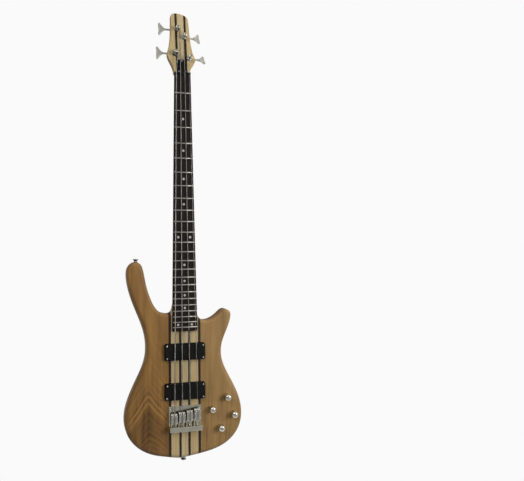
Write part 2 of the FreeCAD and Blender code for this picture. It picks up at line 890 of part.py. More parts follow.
def pickup_pocket(height):
    """Routed pocket of one pickup, with the cover's corners and room round it."""
    half_width = size.pickup_width / 2 + size.pickup_room
    half_length = size.pickup_length / 2 + size.pickup_room
    pocket = block(
        Vector(-half_width, face_y - size.cut_overrun, height - half_length),
        Vector(half_width, face_y + size.pickup_depth, height + half_length))
    uprights = [edge for edge in pocket.Edges if abs(edge.tangentAt(edge.FirstParameter).y) > 0.5]
    return pocket.makeFillet(size.pickup_corner_radius + size.pickup_room, uprights)


def woods(board_shape):
    """The seven glued woods apart from the fretboard: strips and stripes of the core, and two wings."""
    blank = body_blank()
    low = -size.cut_overrun
    mid = bridge_z + size.scale_length / 2
    high = bridge_z + size.scale_length + 2 * size.headstock_length
    core_half = core_width / 2
    pockets = [pickup_pocket(height) for height in pickup_places()]
    pilots = pilot(
        pickup_screw_points(), size.small_screw_radius,
        size.pickup_screw_length - size.pickup_rise, face_y, BACK)
    core = blank.common(slab_between(-core_half, core_half, low, high)).fuse(neck_blank())
    core = core.cut(core_cutters(board_shape) + pockets + pilots)
    wing_tools = wing_cutters() + pockets + pilots
    reach = size.body_width
    bass = blank.common(slab_between(-reach, -core_half, low, high)).cut(wing_tools)
    treble = blank.common(slab_between(core_half, reach, low, high)).cut(wing_tools)
    keep("bass_wing", shaped("bass_wing", bass))
    keep("treble_wing", shaped("treble_wing", treble))
    first = size.center_strip_width / 2
    second = first + size.inner_stripe_width
    third = second + size.side_strip_width
    keep("neck_center_strip", shaped("neck_center_strip", core.common(slab_between(-first, first, low, high))))

    def pair(node, inner, outer, top):
        both = []
        for side in (-1, 1):
            edges = sorted((side * inner, side * outer))
            both += core.common(slab_between(edges[0], edges[1], low, top)).Solids
        keep(node, shaped(node, Part.makeCompound(both)))

    pair("inner_stripes", first, second, high)
    pair("outer_stripes", third, core_half, mid)
    sides = []
    for side in (-1, 1):
        edges = sorted((side * second, side * third))
        tool = slab_between(edges[0], edges[1], low, high)
        edges = sorted((side * third, side * reach))
        tool = tool.fuse(slab_between(edges[0], edges[1], mid, high))
        sides += core.common(tool).Solids
    keep("neck_side_strips", shaped("neck_side_strips", Part.makeCompound(sides)))


def fret_tools():
    """Slots for the fret tangs and pockets for the dots, in the neck's frame."""
    half_slot = size.fret_tang_width / 2 + size.seat_gap
    reach = size.board_width_at_end
    tools = []
    for fret in range(1, FRET_COUNT + 1):
        place = fret_place(fret)
        tools.append(block(
            Vector(-reach, size.fret_height - size.cut_overrun, place - half_slot),
            Vector(reach, size.fret_height + size.fret_tang_depth + size.seat_gap, place + half_slot)))
    for point in dot_points():
        tools.append(cylinder(
            size.dot_diameter / 2 + size.seat_gap, size.dot_depth + size.cut_overrun,
            point - BACK * size.cut_overrun, BACK))
    return tools


def dot_points():
    """Dot centres on the fretboard's top, halfway between frets, in the neck's frame. A pair of dots lies
    between the outer strings of each side."""
    points = []
    for fret in SINGLE_DOT_FRETS + DOUBLE_DOT_FRETS:
        place = (fret_place(fret) + fret_place(fret - 1)) / 2
        apart = size.spacing_at_bridge + (
            size.spacing_at_nut - size.spacing_at_bridge) * place / size.scale_length
        sides = (-1, 1) if fret in DOUBLE_DOT_FRETS else (0,)
        points += [Vector(side * apart, size.fret_height, place) for side in sides]
    return points


def fretboard():
    """Tapered board with fret slots and dot pockets."""
    end = "scale_length / 4 - board_overhang"
    corners = [
        ("-board_width_at_nut / 2", "scale_length"),
        ("board_width_at_nut / 2", "scale_length"),
        ("board_width_at_end / 2", end),
        ("-board_width_at_end / 2", end),
    ]
    place = neck_frame * Placement(Vector(0, glue_depth, 0), Rotation())
    board = padded("board_blank", "XZ_Plane", corners, "board_thickness", place)
    doc.recompute()
    keep("fretboard", cut_from("fretboard", board, fret_tools(), neck_frame))
    return board.Shape


def frets_and_dots():
    """Mushroom-shaped fret wires, and round inlays flush with the board."""
    wires = []
    half = size.fret_width / 2
    tang = size.fret_tang_width / 2
    for fret in range(1, FRET_COUNT + 1):
        place = fret_place(fret)
        reach = board_width(place) / 2 - size.fret_end_inset
        profile = [
            Vector(-reach, size.fret_height * (1 - up), place + along * half) for along, up in CROWN_SHARES]
        for along, down in ((tang, 0), (tang, size.fret_tang_depth), (-tang, size.fret_tang_depth), (-tang, 0)):
            profile.append(Vector(-reach, size.fret_height + down, place + along))
        profile.append(profile[0])
        wires.append(Part.Face(Part.makePolygon(profile)).extrude(Vector(2 * reach, 0, 0)))
    keep("frets", shaped("frets", Part.makeCompound(wires), neck_frame))
    dots = [cylinder(size.dot_diameter / 2, size.dot_depth, point, BACK) for point in dot_points()]
    keep("inlay_dots", shaped("inlay_dots", Part.makeCompound(dots), neck_frame))


def string_x(index, spacing):
    """Sideways place of a string, E to G."""
    return (index - (len(NAMES) - 1) / 2) * spacing


def nut():
    """Black nut on the neck's end of the fretboard, slotted for the strings."""
    half = "board_width_at_nut / 2"
    rise = "-fret_height - board_thickness - nut_crown"
    corners = [("-" + half, "0"), (half, "0"), (half, rise), ("-" + half, rise)]
    place = neck_frame * Placement(Vector(0, glue_depth, size.scale_length), Rotation())
    bar = padded("nut_blank", "XY_Plane", corners, "nut_thickness", place)
    tools = []
    for index, radius in enumerate(string_radii):
        x = string_x(index, size.spacing_at_nut)
        point = Vector(x, -size.lift_at_nut - radius, size.scale_length - size.cut_overrun)
        tools.append(cylinder(
            radius + size.nut_slot_room, size.nut_thickness + 2 * size.cut_overrun, point, UP))
    keep("nut", cut_from("nut", bar, tools, neck_frame))


def truss_rod():
    """Steel rod in its channel with the adjusting nut in the headstock pocket, and the cover over it."""
    start = board_end + size.rod_start + size.seat_gap
    end = size.scale_length + size.nut_thickness + size.rod_reach
    center_y = glue_depth + size.rod_depth
    rod = cylinder(size.rod_radius, end - start, Vector(0, center_y, start), UP)
    corners = []
    for side in range(7):
        angle = side * math.pi / 3
        corners.append(Vector(
            size.rod_nut_radius * math.cos(angle), center_y + size.rod_nut_radius * math.sin(angle),
            end - size.rod_nut_length))
    hexagon = Part.Face(Part.makePolygon(corners)).extrude(UP * size.rod_nut_length)
    keep("truss_rod", shaped("truss_rod", rod.fuse(hexagon), neck_frame))
    half = size.rod_cover_width / 2
    low = size.rod_cover_start
    high = low + size.rod_cover_length
    shoulder = high - half
    edges = [
        Part.LineSegment(Vector(-half, 0, low), Vector(half, 0, low)).toShape(),
        Part.LineSegment(Vector(half, 0, low), Vector(half, 0, shoulder)).toShape(),
        Part.Arc(Vector(half, 0, shoulder), Vector(0, 0, high), Vector(-half, 0, shoulder)).toShape(),
        Part.LineSegment(Vector(-half, 0, shoulder), Vector(-half, 0, low)).toShape(),
    ]
    plate = Part.Face(Part.Wire(edges)).extrude(FRONT * size.rod_cover_thickness)
    holes = pilot(
        rod_cover_screw_points(), size.small_screw_radius,
        size.rod_cover_thickness + 2 * size.cut_overrun, -size.rod_cover_thickness - size.cut_overrun, BACK)
    keep("truss_rod_cover", shaped("truss_rod_cover", plate.cut(holes), head_frame))


def wheel():
    """Worm wheel round the local z axis, resting on z zero."""
    count = int(round(size.wheel_teeth))
    step = 2 * math.pi / count
    tip = size.wheel_pitch_radius + size.tooth_rise
    root = size.wheel_pitch_radius - size.tooth_fall
    half_tip = size.tooth_width / 2 / tip * TOOTH_TIP_SHARE
    half_root = size.tooth_width / 2 / root * TOOTH_ROOT_SHARE
    points = []
    for tooth in range(count):
        middle = tooth * step
        for radius, angle in ((root, -half_root), (tip, -half_tip), (tip, half_tip), (root, half_root)):
            points.append(Vector(radius * math.cos(middle + angle), radius * math.sin(middle + angle), 0))
    points.append(points[0])
    return Part.Face(Part.makePolygon(points)).extrude(UP * size.wheel_thickness)


def worm_thread():
    """Single-start thread round the local z axis, with a valley at z zero on the +x side."""
    turns = 3
    root = size.worm_pitch_radius - size.tooth_fall
    tip = size.worm_pitch_radius + size.tooth_rise
    sunk = root - size.tooth_rise
    half = size.thread_width / 2
    start = -turns / 2 * worm_pitch
    helix = Part.makeHelix(worm_pitch, turns * worm_pitch, size.worm_pitch_radius)
    helix.translate(UP * start)
    profile = Part.makePolygon([
        Vector(sunk, 0, start - half * THREAD_ROOT_SHARE),
        Vector(tip, 0, start - half * THREAD_TIP_SHARE),
        Vector(tip, 0, start + half * THREAD_TIP_SHARE),
        Vector(sunk, 0, start + half * THREAD_ROOT_SHARE),
        Vector(sunk, 0, start - half * THREAD_ROOT_SHARE),
    ])
    return Part.Wire(helix.Edges).makePipeShell([profile], True, True)


def key_blade():
    """Fishtail finger piece in the plane of local x and z, growing along +z from zero."""
    half = size.key_blade_width / 2
    length = size.key_blade_length

    def curve(shares, flip):
        points = [Vector(flip * across * half, 0, along * length) for along, across in shares]
        return spline(points).toShape()

    edges = [
        curve(KEY_FLANK_SHARES, 1),
        curve(KEY_TIP_SHARES, 1),
        curve(KEY_END_SHARES, 1),
        curve(KEY_TIP_SHARES, -1),
        curve(KEY_FLANK_SHARES, -1),
    ]
    base = Part.LineSegment(edges[4].Vertexes[0].Point, edges[0].Vertexes[0].Point).toShape()
    wire = Part.Wire(Part.__sortEdges__(edges + [base]))
    blade = Part.Face(wire).extrude(BACK * size.key_blade_thickness)
    blade.translate(FRONT * (size.key_blade_thickness / 2))
    return blade


def tuners():
    """Four worm-geared tuners: key, post, housing and bushing each."""
    worm = worm_thread()
    gear = wheel()
    housings = []
    bushings = []
    back = size.headstock_thickness
    gear_radius = size.wheel_pitch_radius + size.tooth_rise + size.gear_room
    worm_room = size.worm_pitch_radius + size.tooth_rise + size.gear_room
    wheel_start = back + size.housing_depth / 2 - size.wheel_thickness / 2 - size.housing_wall / 2
    axis_y = wheel_start + size.wheel_thickness / 2
    roof = back + size.housing_depth - size.housing_wall
    outer = gear_radius + size.housing_wall
    for index, (post, side) in enumerate(tuner_posts()):
        name = NAMES[index]
        spin = turned("post_turning_" + name, [
            ("0", "-headstock_thickness - housing_depth + seat_gap"),
            ("post_journal_radius", "-headstock_thickness - housing_depth + seat_gap"),
            ("post_journal_radius", "-headstock_thickness - housing_depth + housing_wall + slide_gap"),
            ("post_radius", "-headstock_thickness - housing_depth + housing_wall + slide_gap"),
            ("post_radius", "bushing_flange_thickness"),
            ("post_waist_radius", "bushing_flange_thickness + slide_gap"),
            ("post_waist_radius", "post_groove"),
            ("post_radius", "post_groove + post_lip"),
            ("post_radius * %s" % POST_SHOULDER_SHARE, "post_reach - post_lip / 2"),
            ("post_radius * %s" % POST_FLAT_SHARE, "post_reach"),
            ("0", "post_reach"),
        ], head_frame * facing(post, FRONT))
        ring = shaped("post_wheel_" + name, gear, head_frame * Placement(
            Vector(post.x, wheel_start, post.z), Rotation(X_AXIS, -90)))
        keep("tuner_post_" + name, joined("tuner_post_" + name, "Part::MultiFuse", [spin, ring]))

        outward = X_AXIS * side
        shaft_point = Vector(post.x, axis_y, post.z + worm_distance)
        turn = Rotation(-UP, outward.cross(-UP), outward, "ZXY")
        shaft_place = head_frame * Placement(shaft_point, turn)
        blind_end = "-wheel_pitch_radius - tooth_rise - gear_room - housing_wall * %s" % SHAFT_SEAT_SHARE
        blade_end = "key_reach - key_blade_length * %s" % SHAFT_END_SHARE
        shaft = turned("key_turning_" + name, [
            ("0", blind_end),
            ("worm_pitch_radius - tooth_fall", blind_end),
            ("worm_pitch_radius - tooth_fall", "wheel_pitch_radius + tooth_rise"),
            ("key_shaft_radius", "wheel_pitch_radius + tooth_rise"),
            ("key_shaft_radius", blade_end),
            ("0", blade_end),
        ], shaft_place)
        thread = shaped("key_worm_" + name, worm, shaft_place)
        blade_place = shaft_place * Placement(
            UP * (size.key_reach - size.key_blade_length), Rotation(UP, KEY_TURNS[index]))
        blade = shaped("key_blade_" + name, key_blade(), blade_place)
        keep("tuner_key_" + name, joined("tuner_key_" + name, "Part::MultiFuse", [shaft, thread, blade]))

        top = post.z + worm_distance + worm_room + size.housing_wall
        shell = cylinder(outer, size.housing_depth, Vector(post.x, back, post.z), BACK)
        shell = shell.fuse(block(
            Vector(post.x - outer, back, post.z), Vector(post.x + outer, back + size.housing_depth, top)))
        shell = shell.removeSplitter()
        shoulders = [
            edge for edge in shell.Edges
            if abs(edge.tangentAt(edge.FirstParameter).y) > 0.5 and edge.BoundBox.ZMin > top - size.seat_gap]
        shell = shell.makeFillet(size.housing_corner_radius, shoulders)
        crown = [edge for edge in shell.Edges if edge.BoundBox.YMin > back + size.housing_depth - size.seat_gap]
        shell = shell.makeFillet(size.housing_edge_radius, crown)
        tab = block(
            Vector(post.x - size.housing_tab_width / 2, back, post.z - outer - size.housing_tab_length),
            Vector(post.x + size.housing_tab_width / 2, back + size.housing_tab_thickness, post.z))
        shell = shell.fuse(tab)
        floor = Vector(post.x, back - size.cut_overrun, post.z)
        room = cylinder(gear_radius, roof - floor.y, floor, BACK)
        low_worm = block(
            Vector(post.x - outer + size.housing_wall, back - size.cut_overrun, post.z),
            Vector(post.x + outer - size.housing_wall, roof, top - size.housing_wall))
        holes = [
            room.fuse(low_worm),
            cylinder(size.post_journal_radius + size.running_gap, size.housing_depth + size.cut_overrun,
                     Vector(post.x, back, post.z), BACK),
            cylinder(size.key_shaft_radius + size.running_gap, outer + size.cut_overrun, shaft_point, outward),
            cylinder(size.worm_pitch_radius - size.tooth_fall + size.running_gap, outer - size.housing_wall / 2,
                     shaft_point, -outward),
        ]
        screw = housing_screw_points()[index]
        holes += pilot([screw], size.small_screw_radius, size.headstock_thickness, floor.y, BACK)
        housings.append(shell.cut(holes))
        sleeve = cylinder(size.bushing_radius, back, post, BACK)
        flange = cylinder(size.bushing_flange_radius, size.bushing_flange_thickness, post, FRONT)
        bore = cylinder(
            size.post_radius + size.running_gap, back + 2 * size.bushing_flange_thickness,
            post + FRONT * (size.bushing_flange_thickness + size.seat_gap), BACK)
        bushings.append(sleeve.fuse(flange).cut(bore))
    keep("tuner_housings", shaped("tuner_housings", Part.makeCompound(housings), head_frame))
    keep("tuner_bushings", shaped("tuner_bushings", Part.makeCompound(bushings), head_frame))


def arc_from_tangent(start, heading, end):
    """Circular arc that leaves a point along a heading and ends at another point."""
    chord = end - start
    normal = (chord - heading * chord.dot(heading)).normalize()
    radius = chord.dot(chord) / (2 * chord.dot(normal))
    center = start + normal * radius
    middle = center + ((start - center) + (end - center)).normalize() * radius
    return Part.Arc(start, middle, end).toShape(), radius


def biarc(start, start_heading, end, end_heading):
    """Two tangent arcs from one point and heading to another point and heading."""
    gap = end - start
    both = start_heading + end_heading
    a = 2 * (start_heading.dot(end_heading) - 1)
    b = -2 * gap.dot(both)
    c = gap.dot(gap)
    reach = (-b - math.sqrt(b * b - 4 * a * c)) / (2 * a)
    joint = ((start + start_heading * reach) + (end - end_heading * reach)) * 0.5
    first, first_radius = arc_from_tangent(start, start_heading, joint)
    second, second_radius = arc_from_tangent(end, -end_heading, joint)
    return [first, second], min(first_radius, second_radius)


def rounded_corner(before, corner, after, radius):
    """Tangent arc at a corner of the string's path: its two ends and its middle."""
    back = (before - corner).normalize()
    ahead = (after - corner).normalize()
    half = math.acos(max(-1.0, min(1.0, back.dot(ahead)))) / 2
    reach = radius / math.tan(half)
    center = corner + (back + ahead).normalize() * (radius / math.sin(half))
    middle = center + (corner - center).normalize() * radius
    return corner + back * reach, middle, corner + ahead * reach


def saddle_place(index):
    """Height of a saddle's crown above the origin, staggered from E to G."""
    return bridge_z - size.saddle_setback + index * size.saddle_stagger


def string(index):
    """One string from its ball end over saddle and nut to its turns round the post, as one tube."""
    radius = string_radii[index]
    x_bridge = string_x(index, size.spacing_at_bridge)
    crown = Vector(x_bridge, face_y - size.height_at_bridge - radius, saddle_place(index))
    lip_front = bridge_z + size.bridge_front - size.bridge_length + size.bridge_lip_thickness
    anchor_z = lip_front - size.bridge_lip_thickness + size.ball_seat_depth - size.string_gap
    drop = (crown.z - anchor_z) * math.tan(math.radians(size.break_angle))
    anchor = Vector(x_bridge, crown.y + drop, anchor_z)
    nut_point = neck_frame.multVec(Vector(
        string_x(index, size.spacing_at_nut), -size.lift_at_nut - radius,
        size.scale_length + size.nut_thickness / 2))
    post, side = tuner_posts()[index]
    wind_radius = size.post_waist_radius + size.string_gap + radius
    local_nut = head_frame.inverse().multVec(nut_point)
    inner = Vector(post.x - side * wind_radius, 0, post.z)
    swing = math.atan2(local_nut.x - inner.x, inner.z - local_nut.z)
    first_angle = (0 if side < 0 else math.pi) + swing

    def winding_point(quarter):
        angle = first_angle - side * quarter * math.pi / 2
        drop_down = (2 * radius + size.winding_gap) * quarter / 4
        return Vector(
            post.x + wind_radius * math.cos(angle), -size.winding_height + drop_down,
            post.z + wind_radius * math.sin(angle))

    def winding_heading(quarter):
        angle = first_angle - side * quarter * math.pi / 2
        around = Vector(side * math.sin(angle), 0, -side * math.cos(angle)) * (wind_radius * math.pi / 2)
        return (around + BACK * ((2 * radius + size.winding_gap) / 4)).normalize()

    contact = head_frame.multVec(winding_point(0))
    heading = (contact - nut_point).normalize()
    first = rounded_corner(anchor, crown, nut_point, size.bend_radius)
    second = rounded_corner(crown, nut_point, contact, size.bend_radius)
    edges = [
        Part.LineSegment(anchor, first[0]).toShape(),
        Part.Arc(*first).toShape(),
        Part.LineSegment(first[2], second[0]).toShape(),
        Part.Arc(*second).toShape(),
        Part.LineSegment(second[2], contact).toShape(),
    ]
    quarters = int(round(size.winding_turns * 4))
    here = contact
    tightest = size.bend_radius
    wound = []
    for quarter in range(1, quarters + 1):
        there = head_frame.multVec(winding_point(quarter))
        there_heading = head_frame.Rotation.multVec(winding_heading(quarter))
        arcs, arc_radius = biarc(here, heading, there, there_heading)
        wound += arcs
        tightest = min(tightest, arc_radius)
        here = there
        heading = there_heading
    edges += wound
    edges.append(Part.LineSegment(here, here + heading * (2 * radius)).toShape())
    path = Part.Wire(Part.__sortEdges__(edges))
    start_heading = (first[0] - anchor).normalize()
    ring = Part.Wire([Part.makeCircle(radius, anchor, start_heading)])
    tube = path.makePipeShell([ring], True, True)
    if tube.Volume < 0:
        tube.reverse()
    report_string(index, path, tube, radius, wound, tightest)
    center = anchor - start_heading * size.ball_face
    ball = Part.makeSphere(size.ball_radius, center)
    over = size.ball_radius * 2
    shave = Part.makeCylinder(over, over, anchor, start_heading)
    whole = Part.makeCompound([tube, ball.cut(shave)])
    keep("string_" + NAMES[index], shaped("string_" + NAMES[index], whole))


def report_string(index, path, tube, radius, wound, tightest):
    """Print the string's volume against its section times its length, and its turns' least gap."""
    expected = math.pi * radius ** 2 * path.Length
    points = []
    for number, edge in enumerate(wound):
        points += [(number, point) for point in edge.discretize(9)]
    apart = min(
        (one - two).Length for first, one in points for second, two in points if second - first > 4)
    print("string %s: length %.1f, volume share %.4f, tightest radius %.2f, least gap %.2f" % (
        NAMES[index], path.Length, tube.Volume / expected, tightest, apart - 2 * radius))


def bridge():
    """Bridge plate with its rear lip, and a saddle and intonation screw for each string."""
    lip_back = "bridge_front - bridge_length"
    corners = [
        ("0", "bridge_front"),
        ("0", lip_back),
        ("-bridge_lip_height", lip_back),
        ("-bridge_lip_height", lip_back + " + bridge_lip_thickness"),
        ("-bridge_plate_thickness", lip_back + " + bridge_lip_thickness"),
        ("-bridge_plate_thickness", "bridge_front"),
    ]
    place = Placement(Vector(-size.bridge_width / 2, face_y, bridge_z), Rotation())
    plate = padded("bridge_blank", "YZ_Plane", corners, "bridge_width", place)
    crest = -size.bridge_lip_height
    rounded(plate, lambda edge: edge.BoundBox.YMax < crest + size.seat_gap, "bridge_edge_radius")
    doc.recompute()
    lip_z = bridge_z + size.bridge_front - size.bridge_length
    over = size.cut_overrun
    holes = []
    for index, radius in enumerate(string_radii):
        x = string_x(index, size.spacing_at_bridge)
        run = saddle_place(index) - lip_z - size.bridge_lip_thickness / 2
        hole_y = face_y - size.height_at_bridge - radius + run * math.tan(math.radians(size.break_angle))
        start = Vector(x, hole_y, lip_z - over)
        holes.append(cylinder(size.string_hole_radius, size.bridge_lip_thickness + 2 * over, start, UP).fuse(
            cylinder(size.ball_seat_radius, size.ball_seat_depth + over, start, UP)))
        screw_y = face_y - size.bridge_plate_thickness - size.intonation_height
        holes.append(cylinder(
            size.intonation_radius + size.running_gap, size.bridge_lip_thickness + 2 * over,
            Vector(x, screw_y, lip_z - over), UP))
    holes += pilot(
        bridge_screw_points(), size.screw_radius, size.bridge_plate_thickness + 2 * over,
        face_y - size.bridge_plate_thickness - over, BACK)
    sink = size.screw_head_radius - size.screw_radius
    for point in bridge_screw_points():
        top = Vector(point.x, face_y - size.bridge_plate_thickness, point.z)
        holes.append(Part.makeCone(
            size.screw_head_radius + size.seat_gap, size.screw_radius + size.seat_gap, sink, top, BACK))
    keep("bridge_plate", cut_from("bridge_plate", plate, holes))
    for index in range(len(string_radii)):
        saddle(index)
        x = string_x(index, size.spacing_at_bridge)
        screw_y = face_y - size.bridge_plate_thickness - size.intonation_height
        screw = turned("intonation_screw_" + NAMES[index], [
            ("0", "-intonation_head_length"),
            ("intonation_head_radius", "-intonation_head_length"),
            ("intonation_head_radius", "-slide_gap"),
            ("intonation_radius", "-slide_gap"),
            ("intonation_radius", "intonation_length - intonation_radius"),
            ("0", "intonation_length"),
        ], facing(Vector(x, screw_y, lip_z), UP))
        keep("intonation_screw_" + NAMES[index], screw)


def saddle(index):
    """Saddle block with a sloped tail, bored for its intonation screw, on two height screws."""
    base_y = "-bridge_plate_thickness - slide_gap"
    top_y = "-height_at_bridge + saddle_gap"
    corners = [
        (base_y, "saddle_nose"),
        (base_y, "-saddle_tail"),
        (top_y + " + saddle_tail_drop", "-saddle_tail"),
        (top_y, "0"),
        (top_y + " + saddle_nose_drop", "saddle_nose"),
    ]
    x = string_x(index, size.spacing_at_bridge)
    place = Placement(Vector(x - size.saddle_width / 2, face_y, saddle_place(index)), Rotation())
    base = padded("saddle_block_" + NAMES[index], "YZ_Plane", corners, "saddle_width", place)
    over = size.cut_overrun
    low = face_y - size.bridge_plate_thickness - size.slide_gap
    grub_z = saddle_place(index) - size.saddle_nose
    holes = [cylinder(
        size.intonation_radius + size.running_gap, size.saddle_nose + size.saddle_tail + 2 * over,
        Vector(x, face_y - size.bridge_plate_thickness - size.intonation_height,
               saddle_place(index) - size.saddle_tail - over), UP)]
    pieces = []
    for number, side in enumerate((-1, 1), start=1):
        point = Vector(x + side * size.grub_offset, low, grub_z)
        holes.append(cylinder(
            size.grub_radius + size.seat_gap, size.height_at_bridge, point - FRONT * over, FRONT))
        label = "grub_screw_%s_%d" % (NAMES[index], number)
        height = "height_at_bridge - bridge_plate_thickness - slide_gap - saddle_gap"
        pieces.append(rod(label, "grub_radius", height, facing(point, FRONT)))
    pieces.append(cut_from("saddle_body_" + NAMES[index], base, holes))
    keep("saddle_" + NAMES[index], joined("saddle_" + NAMES[index], "Part::Compound", pieces))


def pickups():
    """Two soapbar covers with coils and bar magnets inside."""
    coils = []
    magnets = []
    for node, height in zip(("neck_pickup_cover", "bridge_pickup_cover"), pickup_places()):
        half = "pickup_width / 2"
        side = "pickup_length / 2"
        corners = [("-" + half, "-" + side), (half, "-" + side), (half, side), ("-" + half, side)]
        place = Placement(Vector(0, face_y + size.pickup_depth, height), Rotation())
        shell = padded(node + "_blank", "XZ_Plane", corners, "pickup_depth + pickup_rise", place)
        rounded(shell, lambda edge: abs(edge.tangentAt(edge.FirstParameter).y) > 0.5, "pickup_corner_radius")
        doc.recompute()
        crest = -size.pickup_depth - size.pickup_rise
        rounded(shell, lambda edge: edge.BoundBox.YMax < crest + size.seat_gap, "pickup_edge_radius")
        doc.recompute()
        inner_x = size.pickup_width / 2 - size.pickup_wall
        inner_z = size.pickup_length / 2 - size.pickup_wall
        roof = face_y - size.pickup_rise + size.pickup_wall
        hollow = block(
            Vector(-inner_x, roof, height - inner_z),
            Vector(inner_x, face_y + size.pickup_depth + size.cut_overrun, height + inner_z))
        uprights = [edge for edge in hollow.Edges if abs(edge.tangentAt(edge.FirstParameter).y) > 0.5]
        hollow = hollow.makeFillet(size.pickup_corner_radius - size.pickup_wall, uprights)
        holes = pilot(
            pickup_screw_points(), size.small_screw_radius, size.pickup_wall + 2 * size.cut_overrun,
            face_y - size.pickup_rise - size.cut_overrun, BACK)
        keep(node, cut_from(node, shell, [hollow.fuse(holes)]))
        for along in (-1, 1):
            middle = height + along * size.coil_spread
            coil = block(
                Vector(-size.coil_length / 2, roof, middle - size.coil_width / 2),
                Vector(size.coil_length / 2, roof + size.coil_height, middle + size.coil_width / 2))
            uprights = [edge for edge in coil.Edges if abs(edge.tangentAt(edge.FirstParameter).y) > 0.5]
            coil = coil.makeFillet(size.coil_width * COIL_END_SHARE, uprights)
            slot = block(
                Vector(-size.magnet_length / 2 - size.seat_gap, roof - size.cut_overrun,
                       middle - size.magnet_width / 2 - size.seat_gap),
                Vector(size.magnet_length / 2 + size.seat_gap, roof + size.coil_height + size.cut_overrun,
                       middle + size.magnet_width / 2 + size.seat_gap))
            coils.append(coil.cut(slot))
            magnets.append(box(
                "magnet_%d" % (len(magnets) + 1), "magnet_length", "coil_height", "magnet_width",
                Vector(-size.magnet_length / 2, roof, middle - size.magnet_width / 2)))
    keep("pickup_coils", shaped("pickup_coils", Part.makeCompound(coils)))
    keep("pickup_magnets", joined("pickup_magnets", "Part::Compound", magnets))


def controls():
    """Four knobs on pot shafts, with the pots inside the cavity and their nuts under the knobs."""
    pots = []
    nuts = []
    for index, point in enumerate(knob_points(), start=1):
        foot = facing(Vector(point.x, face_y, point.z), FRONT)
        knob = turned("knob_%d" % index, [
            ("pot_shaft_radius + seat_gap", "knob_recess_depth"),
            ("knob_recess_radius", "knob_recess_depth"),
            ("knob_recess_radius", "knob_rise"),
            ("knob_radius", "knob_rise"),
            ("knob_radius", "knob_height"),
            ("0", "knob_height"),
            ("0", "knob_socket_depth"),
            ("pot_shaft_radius + seat_gap", "knob_socket_depth"),
        ], foot)
        top = size.knob_height
        rounded(knob, lambda edge: edge.Closed and abs(edge.BoundBox.ZMin - top) < size.seat_gap,
                "knob_dome_radius")
        keep("knob_%d" % index, knob)
        shaft = turned("pot_shaft_%d" % index, [
            ("0", "-cavity_roof - pot_height / 2"),
            ("pot_shaft_radius", "-cavity_roof - pot_height / 2"),
            ("pot_shaft_radius", "knob_socket_depth - slide_gap"),
            ("0", "knob_socket_depth - slide_gap"),
        ], foot)
        keep("pot_shaft_%d" % index, shaft)
        pot = turned("pot_turning_%d" % index, [
            ("0", "-cavity_roof - pot_height"),
            ("pot_radius", "-cavity_roof - pot_height"),
            ("pot_radius", "-cavity_roof"),
            ("pot_bushing_radius", "-cavity_roof"),
            ("pot_bushing_radius", "pot_bushing_rise"),
            ("pot_shaft_radius + running_gap", "pot_bushing_rise"),
            ("pot_shaft_radius + running_gap", "-cavity_roof - pot_height / 2 - slide_gap"),
            ("0", "-cavity_roof - pot_height / 2 - slide_gap"),
        ], foot)
        pots.append(pot)
        corners = []
        reach = size.pot_nut_width / 2 / math.cos(math.pi / 6)
        for side in range(7):
            angle = side * math.pi / 3
            corners.append(Vector(point.x + reach * math.cos(angle), face_y, point.z + reach * math.sin(angle)))
        hexagon = Part.Face(Part.makePolygon(corners)).extrude(FRONT * size.pot_nut_thickness)
        hole = cylinder(
            size.pot_bushing_radius + size.seat_gap, size.pot_nut_thickness + 2 * size.cut_overrun,
            Vector(point.x, face_y + size.cut_overrun, point.z), FRONT)
        nuts.append(hexagon.cut(hole))
    keep("pots", joined("pots", "Part::Compound", pots))
    keep("pot_nuts", shaped("pot_nuts", Part.makeCompound(nuts)))


def electronics():
    """Preamp board, battery with its clip, and the barrel output jack."""
    roof = face_y + size.cavity_roof
    center = body_point(*BOARD_PLACE_SHARES)
    sheet_board = box(
        "board_sheet_blank", "board_side", "board_sheet", "board_height",
        Vector(center.x - size.board_side / 2, roof, center.z - size.board_height / 2))
    chip = box(
        "board_chip", "chip_side", "chip_height", "chip_side",
        Vector(center.x - size.chip_side / 2, roof + size.board_sheet, center.z - size.chip_side / 2))
    keep("preamp_board", joined("preamp_board", "Part::MultiFuse", [sheet_board, chip]))
    floor = back_y - size.battery_cavity_depth
    low = battery_z - size.battery_length / 2
    keep("battery", box(
        "battery", "battery_width", "battery_height", "battery_length",
        Vector(battery_x - size.battery_width / 2, floor, low)))
    middle = floor + size.battery_height / 2
    keep("battery_clip", box(
        "battery_clip", "clip_width", "clip_width", "clip_thickness",
        Vector(battery_x - size.clip_width / 2, middle - size.clip_width / 2, low + size.battery_length)))
    jack = turned("output_jack", [
        ("jack_bore_radius", "-jack_length"),
        ("jack_radius", "-jack_length"),
        ("jack_radius", "0"),
        ("jack_flange_radius", "0"),
        ("jack_flange_radius", "jack_flange_thickness"),
        ("jack_bore_radius", "jack_flange_thickness"),
    ], facing(body_point(*JACK_PLACE_SHARES), X_AXIS))
    keep("output_jack", jack)


def back_covers():
    """Two flush cover plates on ledges in the back of the treble wing."""
    holes = pilot(
        cover_screw_points() + battery_screw_points(), size.small_screw_radius,
        size.cover_thickness + 2 * size.cut_overrun, back_y + size.cut_overrun, FRONT)
    cover = from_back(cover_outline(size.cover_room), 0, size.cover_thickness)
    keep("control_cover", shaped("control_cover", cover.cut(holes)))
    lid = from_back(
        stadium(size.battery_cover_width, size.battery_cover_length, size.cover_room), 0, size.cover_thickness)
    keep("battery_cover", shaped("battery_cover", lid.cut(holes)))


